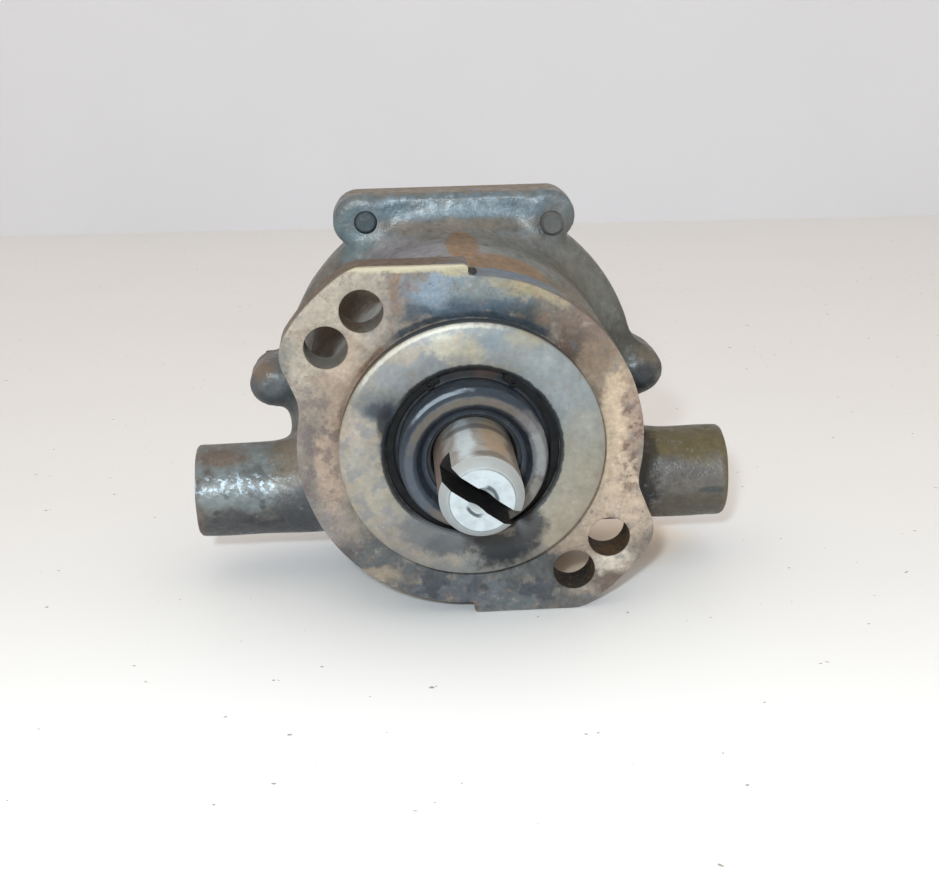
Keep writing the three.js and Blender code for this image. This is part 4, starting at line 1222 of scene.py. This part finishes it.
def make_seals():
    front = [
        (14.6, -7.8), (14.6, -2.2), (13.2, -2.2), (13.2, -6.2), (11.2, -6.2),
        (11, -3.6), (10.4, -2.6), (9.68, -3.8), (10.2, -7.8),
    ]
    ring_piece("front_seal_lip", front, 0.2, "rubber", "seal_rubber", "housing", "front_lip_seal")
    rear = [
        (13, 28.4), (13, 32.4), (12.2, 32.4), (12.2, 29.6), (9.6, 29.6),
        (9.4, 31.6), (8.8, 32.6), (8.16, 31.4), (8.65, 28.4),
    ]
    ring_piece("rear_seal_lip", rear, 0.2, "rubber", "seal_rubber", "housing", "rear_lip_seal")
    case = [(14.2, 27.2), (14.2, 32.8), (13.3, 32.8), (13.3, 28.1), (10.6, 28.1), (10.6, 27.2)]
    ring_piece("rear_seal_shell", case, 0.2, "bearing", "bearing_steel", "housing", "rear_seal_case")
    slinger = [
        (8.12, 25.2), (11.0, 25.2), (11.5, 25.6), (11.5, 26.3), (11.0, 26.8), (10.0, 26.6),
        (9.4, 26.2), (8.9, 26.8), (8.12, 26.8),
    ]
    ring_piece("slinger_ring", slinger, 0.12, "rubber", "seal_rubber", "rotor", "slinger")
    spacer = [(9.62, 11.7), (12, 11.7), (12, 13.6), (9.62, 13.6)]
    ring_piece("spacer_sleeve", spacer, 0.2, "bearing", "bearing_steel", "rotor", "bearing_spacer")


def coil_ring(name, ring_r, middle, wire_r, turns, node):
    """A garter spring: a fine helix closed into a ring, its wire a swept hexagon."""
    sides, steps = 6, turns * 10
    points, faces = [], []
    tube = 0.42
    for k in range(steps):
        along = 2 * math.pi * k / steps
        spin = turns * along
        out = np.array([math.cos(along), 0, math.sin(along)])
        up = np.array([0, 1, 0])
        across = math.cos(spin) * out + math.sin(spin) * up
        centre = ring_r * out + tube * across + np.array([0, middle, 0])
        tangent = np.array([-math.sin(along), 0, math.cos(along)])
        for j in range(sides):
            turn = 2 * math.pi * j / sides
            points.append(centre + wire_r * (math.cos(turn) * across + math.sin(turn) * tangent))
    for k in range(steps):
        for j in range(sides):
            a, b = k * sides, ((k + 1) % steps) * sides
            n = (j + 1) % sides
            faces.append([a + j, a + n, b + n, b + j])
    thing = new_object(name, points, faces)
    tidy_normals(thing)
    finish_piece(thing, "bearing", "bearing_steel", "housing", node, angle=60)


def make_circlip(name, r_in, r_out, y0, y1, gap, lugs_inside, body, node):
    section = soften([(r_in, y0), (r_out, y0), (r_out, y1), (r_in, y1)], 0.15)
    ring = slit_ring(name, section, gap)
    lug_r = r_in + 0.6 if lugs_inside else r_out - 0.3
    for side in (-1, 1):
        x, z = polar(lug_r, 90 + side * (gap / 2 + 8))
        lug = moved(turned("lug", rod_profile(1.3, y0, y1), 0.15, 24), x, 0, z)
        combine(ring, lug, "UNION")
        combine(ring, hole_tool(0.55, y0 - 1, y1 + 1, x, z, 0, 20))
    finish_piece(ring, "black_steel", "dark_steel", body, node, angle=35)


PITCH_R, BALL_R, GROOVE_R, BEARING_WIDE, CAGE_HALF, BALLS = 15.05, 2.65, 3.1, 11.1, 3.5, 7


def make_bearing(place, y0):
    y1, middle = y0 + BEARING_WIDE, y0 + BEARING_WIDE / 2
    lean = math.degrees(math.asin((17.5 - PITCH_R) / GROOVE_R))
    groove = arc(PITCH_R, middle, GROOVE_R, 90 - lean, -90 + lean, 12)
    outer = [*soften([(17.5, y0), (20.5, y0), (20.5, y1), (17.5, y1)], 0.4), *groove]
    steel = ("bearing", "bearing_steel")
    ring_piece(place + "_race_outer", outer, 0, *steel, "housing", place + "_bearing_outer_ring")
    groove = arc(PITCH_R, middle, GROOVE_R, 270 - lean, 90 + lean, 12)
    inner = [*soften([(12.6, y1), (9.6, y1), (9.6, y0), (12.6, y0)], 0.4), *groove]
    ring_piece(place + "_race_inner", inner, 0, *steel, "rotor", place + "_bearing_inner_ring")
    front, back = middle - CAGE_HALF, middle + CAGE_HALF
    cage = turned("cage", [(14.4, front), (15.7, front), (15.7, back), (14.4, back)], 0.2, 72)
    for k in range(BALLS):
        x, z = polar(PITCH_R, 360 * k / BALLS)
        pocket = arc(0, middle, BALL_R + 0.25, -90, 90, 12)
        combine(cage, moved(turned("pocket", pocket, 0, 24), x, 0, z))
    for k in range(BALLS):
        x, z = polar(PITCH_R, 360 * k / BALLS)
        ball = moved(turned("ball", arc(0, middle, BALL_R, -90, 90, 14), 0, 28), x, 0, z)
        join_into(cage, ball)
    cage.name = place + "_ball_set"
    finish_piece(cage, "bearing", "bearing_steel", place + "_balls", place + "_bearing_balls", angle=40)


def join_into(thing, other):
    """Adds the other mesh to the thing as a loose shell."""
    work = bmesh.new()
    work.from_mesh(thing.data)
    work.from_mesh(other.data)
    work.to_mesh(thing.data)
    work.free()
    bpy.data.objects.remove(other)
    return thing


make_seal_housing()
make_seals()
coil_ring("front_seal_spring", 12.2, -5, 0.13, 90, "front_garter_spring")
coil_ring("rear_seal_spring", 10.7, 30.9, 0.13, 80, "rear_garter_spring")
make_circlip("bore_clip", 18.7, 21.5, -2.9, -1.7, 46, True, "housing", "bore_snap_ring")
make_circlip("shaft_clip", 9.0, 12.2, -0.8, 0.3, 60, False, "rotor", "shaft_retaining_ring")
make_circlip("impeller_clip", 7.5, 10, 56.4, 57.5, 60, False, "rotor", "impeller_retaining_ring")
make_bearing("front", 0.5)
make_bearing("rear", 13.7)


# ------------------------------------------------------------------ chamber
CAM_HALF, CAM_HIGH, WALL_R = 25, 5.4, 32.7
VANE_FRONT, VANE_BACK = 34.8, 61.6
VANES, HUB_R, VANE_LONG, VANE_THICK, TIP_R = 12, 17.0, 15.9, 2.4, 1.7


def cam_rise(angle):
    share = min(abs(angle) / CAM_HALF, 1)
    return CAM_HIGH * (1 + math.cos(math.pi * share)) / 2


def vane_line(root_angle):
    """The middle line of a vane that keeps its length and trails where the cam presses it in."""
    chord, trail, reach = VANE_LONG - TIP_R, 10.0, WALL_R
    for _ in range(60):
        down = (root_angle - trail + 90 + 180) % 360 - 180
        highest = max(cam_rise(down + a) for a in (-4, 0, 4))
        reach = WALL_R - 0.3 - TIP_R - highest - (0.6 if highest > 0.05 else 0)
        cosine = (HUB_R**2 + reach**2 - chord**2) / (2 * HUB_R * reach)
        trail += 0.2 * (math.degrees(math.acos(min(cosine, 1))) - trail)
    root, tip = polar(HUB_R - 2, root_angle), polar(reach, root_angle - trail)
    knee = polar((HUB_R + reach) / 2 + 1, root_angle - trail * 0.25)
    return [root, *bezier(root, knee, tip, 8)]


def line_distance(points, x, z, half):
    nearest = np.full(np.broadcast(x, z).shape, 1e9, np.float32)
    last = len(points) - 2
    for k, ((ax, az), (bx, bz)) in enumerate(zip(points, points[1:])):
        ex, ez = bx - ax, bz - az
        t = np.clip(((x - ax) * ex + (z - az) * ez) / (ex * ex + ez * ez), 0, 1)
        thick = half * (1 - 0.25 * (k + t) / (last + 1))
        nearest = np.minimum(nearest, np.hypot(x - ax - t * ex, z - az - t * ez) - thick)
    return nearest


def make_impeller():
    field = Field((-34, 34, -34), (34, 62.4, 34), 0.5)
    x, y, z = field.x, field.y, field.z
    flat = np.hypot(x, z) - HUB_R
    for k in range(VANES):
        line = vane_line(180 / VANES + 360 * k / VANES)
        flat = blend(flat, line_distance(line, x, z, VANE_THICK / 2), 1.6)
        flat = blend(flat, np.hypot(x - line[-1][0], z - line[-1][1]) - TIP_R, 0.8)
    shape = plate(flat, y, VANE_FRONT, VANE_BACK, 0.4)
    shape = np.maximum(shape, 12.7 - np.hypot(x, z))
    rubber = new_object("impeller_rubber", *field.mesh(shape.astype(np.float32)))
    finish_piece(rubber, "impeller", "impeller_rubber", "rotor", "impeller", angle=50)
    insert = turned("impeller_hub_sleeve", [(8.22, 35.2), (12.5, 35.2), (12.5, 56), (8.22, 56)], 0.3, 96)
    combine(insert, box_tool(-2.3, 2.3, 30, 60, 0, 10.3))
    finish_piece(insert, "brass", "brass", "rotor", "impeller_insert")
    plug = [(0, 58.8), (12.2, 58.8), (12.2, 61.6), (9, 61.6), (8.4, 60.8), (0, 60.8)]
    ring_piece("impeller_end_plug", plug, 0.3, "rubber", "seal_rubber", "rotor", "impeller_plug")
    key = box_tool(-2, 2, 38, 54, 6, 10)
    bevel = key.modifiers.new("bevel", "BEVEL")
    bevel.width, bevel.segments = 0.25 * MM, 3
    baked(key)
    key.name = "shaft_key"
    finish_piece(key, "bearing", "bearing_steel", "rotor", "impeller_key")


def make_chamber():
    disc = turned("wear_disc", [(11, 33.02), (32.7, 33.02), (32.7, 34.5), (11, 34.5)], 0.2, 128)
    combine(disc, hole_tool(1.8, 30, 40, 0, 28, 0, 24))
    finish_piece(disc, "brass", "brass", "housing", "wear_plate")
    pin = turned("dowel", [(0, 30.3), (1.5, 30.3), (1.5, 34.4), (0, 34.4)], 0.3, 32)
    moved(pin, 0, 0, 28).name = "wear_disc_dowel"
    finish_piece(pin, "bearing", "bearing_steel", "housing", "wear_plate_dowel")
    spots = [CAM_HALF * (k / 12 - 1) for k in range(25)]
    outline = [polar(WALL_R, a - 90) for a in spots]
    outline += [polar(WALL_R - 0.4 - cam_rise(a), a - 90) for a in reversed(spots)]
    count = len(outline)
    points = [(x, y, z) for y in (VANE_FRONT, 60.8) for x, z in outline]
    faces = [[k, (k + 1) % count, count + (k + 1) % count, count + k] for k in range(count)]
    faces += [list(range(count)), [count + k for k in reversed(range(count))]]
    block = new_object("cam_block", points, faces)
    tidy_normals(block)
    hole = turned_over(turned("hole", rod_profile(2.3, 29, 36), 0, 24), -90, "X")
    combine(block, moved(hole, 0, 48, 0))
    finish_piece(block, "brass", "brass", "housing", "cam")
    thread = thread_profile(1.98, 0.35, 29.9, 38, 0.9)
    profile = [(0, 29.4), (1.5, 29.4), *thread, (1.9, 38.4), (1.9, 41.6), (0, 41.6)]
    screw = turned("cam_bolt", profile, 0, 32)
    combine(screw, hexagon_head("head", 41.2, 43.8, 3.8), "UNION")
    moved(turned_over(screw, -90, "X"), 0, 48, 0)
    finish_piece(screw, "screw", "screw_steel", "housing", "cam_screw", angle=30)


make_impeller()
make_chamber()


# ------------------------------------------------------------------ floor, wall and light
# The pump stands on the bottom edges of its two flanges, so the table leans to its axis.
# The wall's foot is a line through two places, left and right.
REST_FRONT, REST_REAR = (0.0, -EAR_FLAT), (REAR_FRONT, -50.46)
LEAN = (REST_REAR[1] - REST_FRONT[1]) / (REST_REAR[0] - REST_FRONT[0])
WALL_LEFT, WALL_RIGHT = (-309, 942), (444, 870)
# A small bright lamp just above the viewer's left shoulder, in a warm, evenly lit room.
LAMP_AT, LAMP_SIZE, LAMP_POWER, LAMP_COLOUR = (-65, -415, 207), 0.028, 2.62, (0.82, 0.94, 1.0)
ROOM_COLOUR, ROOM_STRENGTH = (1.0, 0.905, 0.78, 1), 1.12


def floor_z(y):
    return REST_FRONT[1] + LEAN * y - 0.15


def stage_material(name, colour, rough, crumbs=False):
    p = Paint(name).base(colour, colour)
    p.speckle(0.004, 0.4, 0.65, tuple(c * 0.97 for c in colour[:3]) + (1.0,), 0.6)
    if crumbs:
        # Painted warm shade on the floor under the pump, which shows through the lower holes, and a few
        # crumbs.
        p.patch((42, 54, -50), (20, 20, 30), srgb(232, 210, 184, 1), 0.85, 1.2, 0.2)
        p.patch((29, 34, -48), (12, 12, 30), srgb(196, 172, 148, 1), 0.85, 1.0, 0.2)
        p.speckle(0.28, 0.745, 0.76, srgb(120, 104, 88, 1), 0.8, 40.0, detail=2)
    return p.done(rough)


def make_stage():
    near, far = -1500, 1500
    corners = [(-3000, near), (3000, near), (3000, far), (-3000, far)]
    floor = new_object("floor", [(x, y, floor_z(y)) for x, y in corners], [(0, 1, 2, 3)])
    floor.data.materials.append(stage_material("pale_table", srgb(222, 223, 226, 1), 0.55, True))
    (x0, y0), (x1, y1) = WALL_LEFT, WALL_RIGHT
    slope = (y1 - y0) / (x1 - x0)
    ends = [(x, y0 + slope * (x - x0)) for x in (-3000, 3000)]
    low = [(x, y, floor_z(y) - 5) for x, y in ends]
    high = [(x, y, floor_z(y) + 1800) for x, y in ends]
    wall = new_object("wall", low + high[::-1], [(0, 1, 2, 3)])
    wall.data.materials.append(stage_material("pale_wall", srgb(216, 220, 230, 1), 0.8))


def area_light(name, at, target, size, power, colour=(1, 1, 1)):
    data = bpy.data.lights.new(name, "AREA")
    data.shape = "DISK"
    data.size = size
    data.energy = power
    data.color = colour
    light = bpy.data.objects.new(name, data)
    light.location = Vector(in_frame(at))
    aim = Vector(in_frame(target)) - light.location
    light.rotation_euler = aim.to_track_quat("-Z", "Y").to_euler()
    bpy.context.scene.collection.objects.link(light)


def make_light():
    area_light("lamp", LAMP_AT, (0, 20, 0), LAMP_SIZE, LAMP_POWER, LAMP_COLOUR)
    world = bpy.data.worlds.new("world")
    world.use_nodes = True
    background = world.node_tree.nodes["Background"]
    background.inputs["Color"].default_value = ROOM_COLOUR
    background.inputs["Strength"].default_value = ROOM_STRENGTH
    bpy.context.scene.world = world
    view = bpy.context.scene.view_settings
    view.view_transform = "Standard"
    view.look = "None"


make_stage()
make_light()
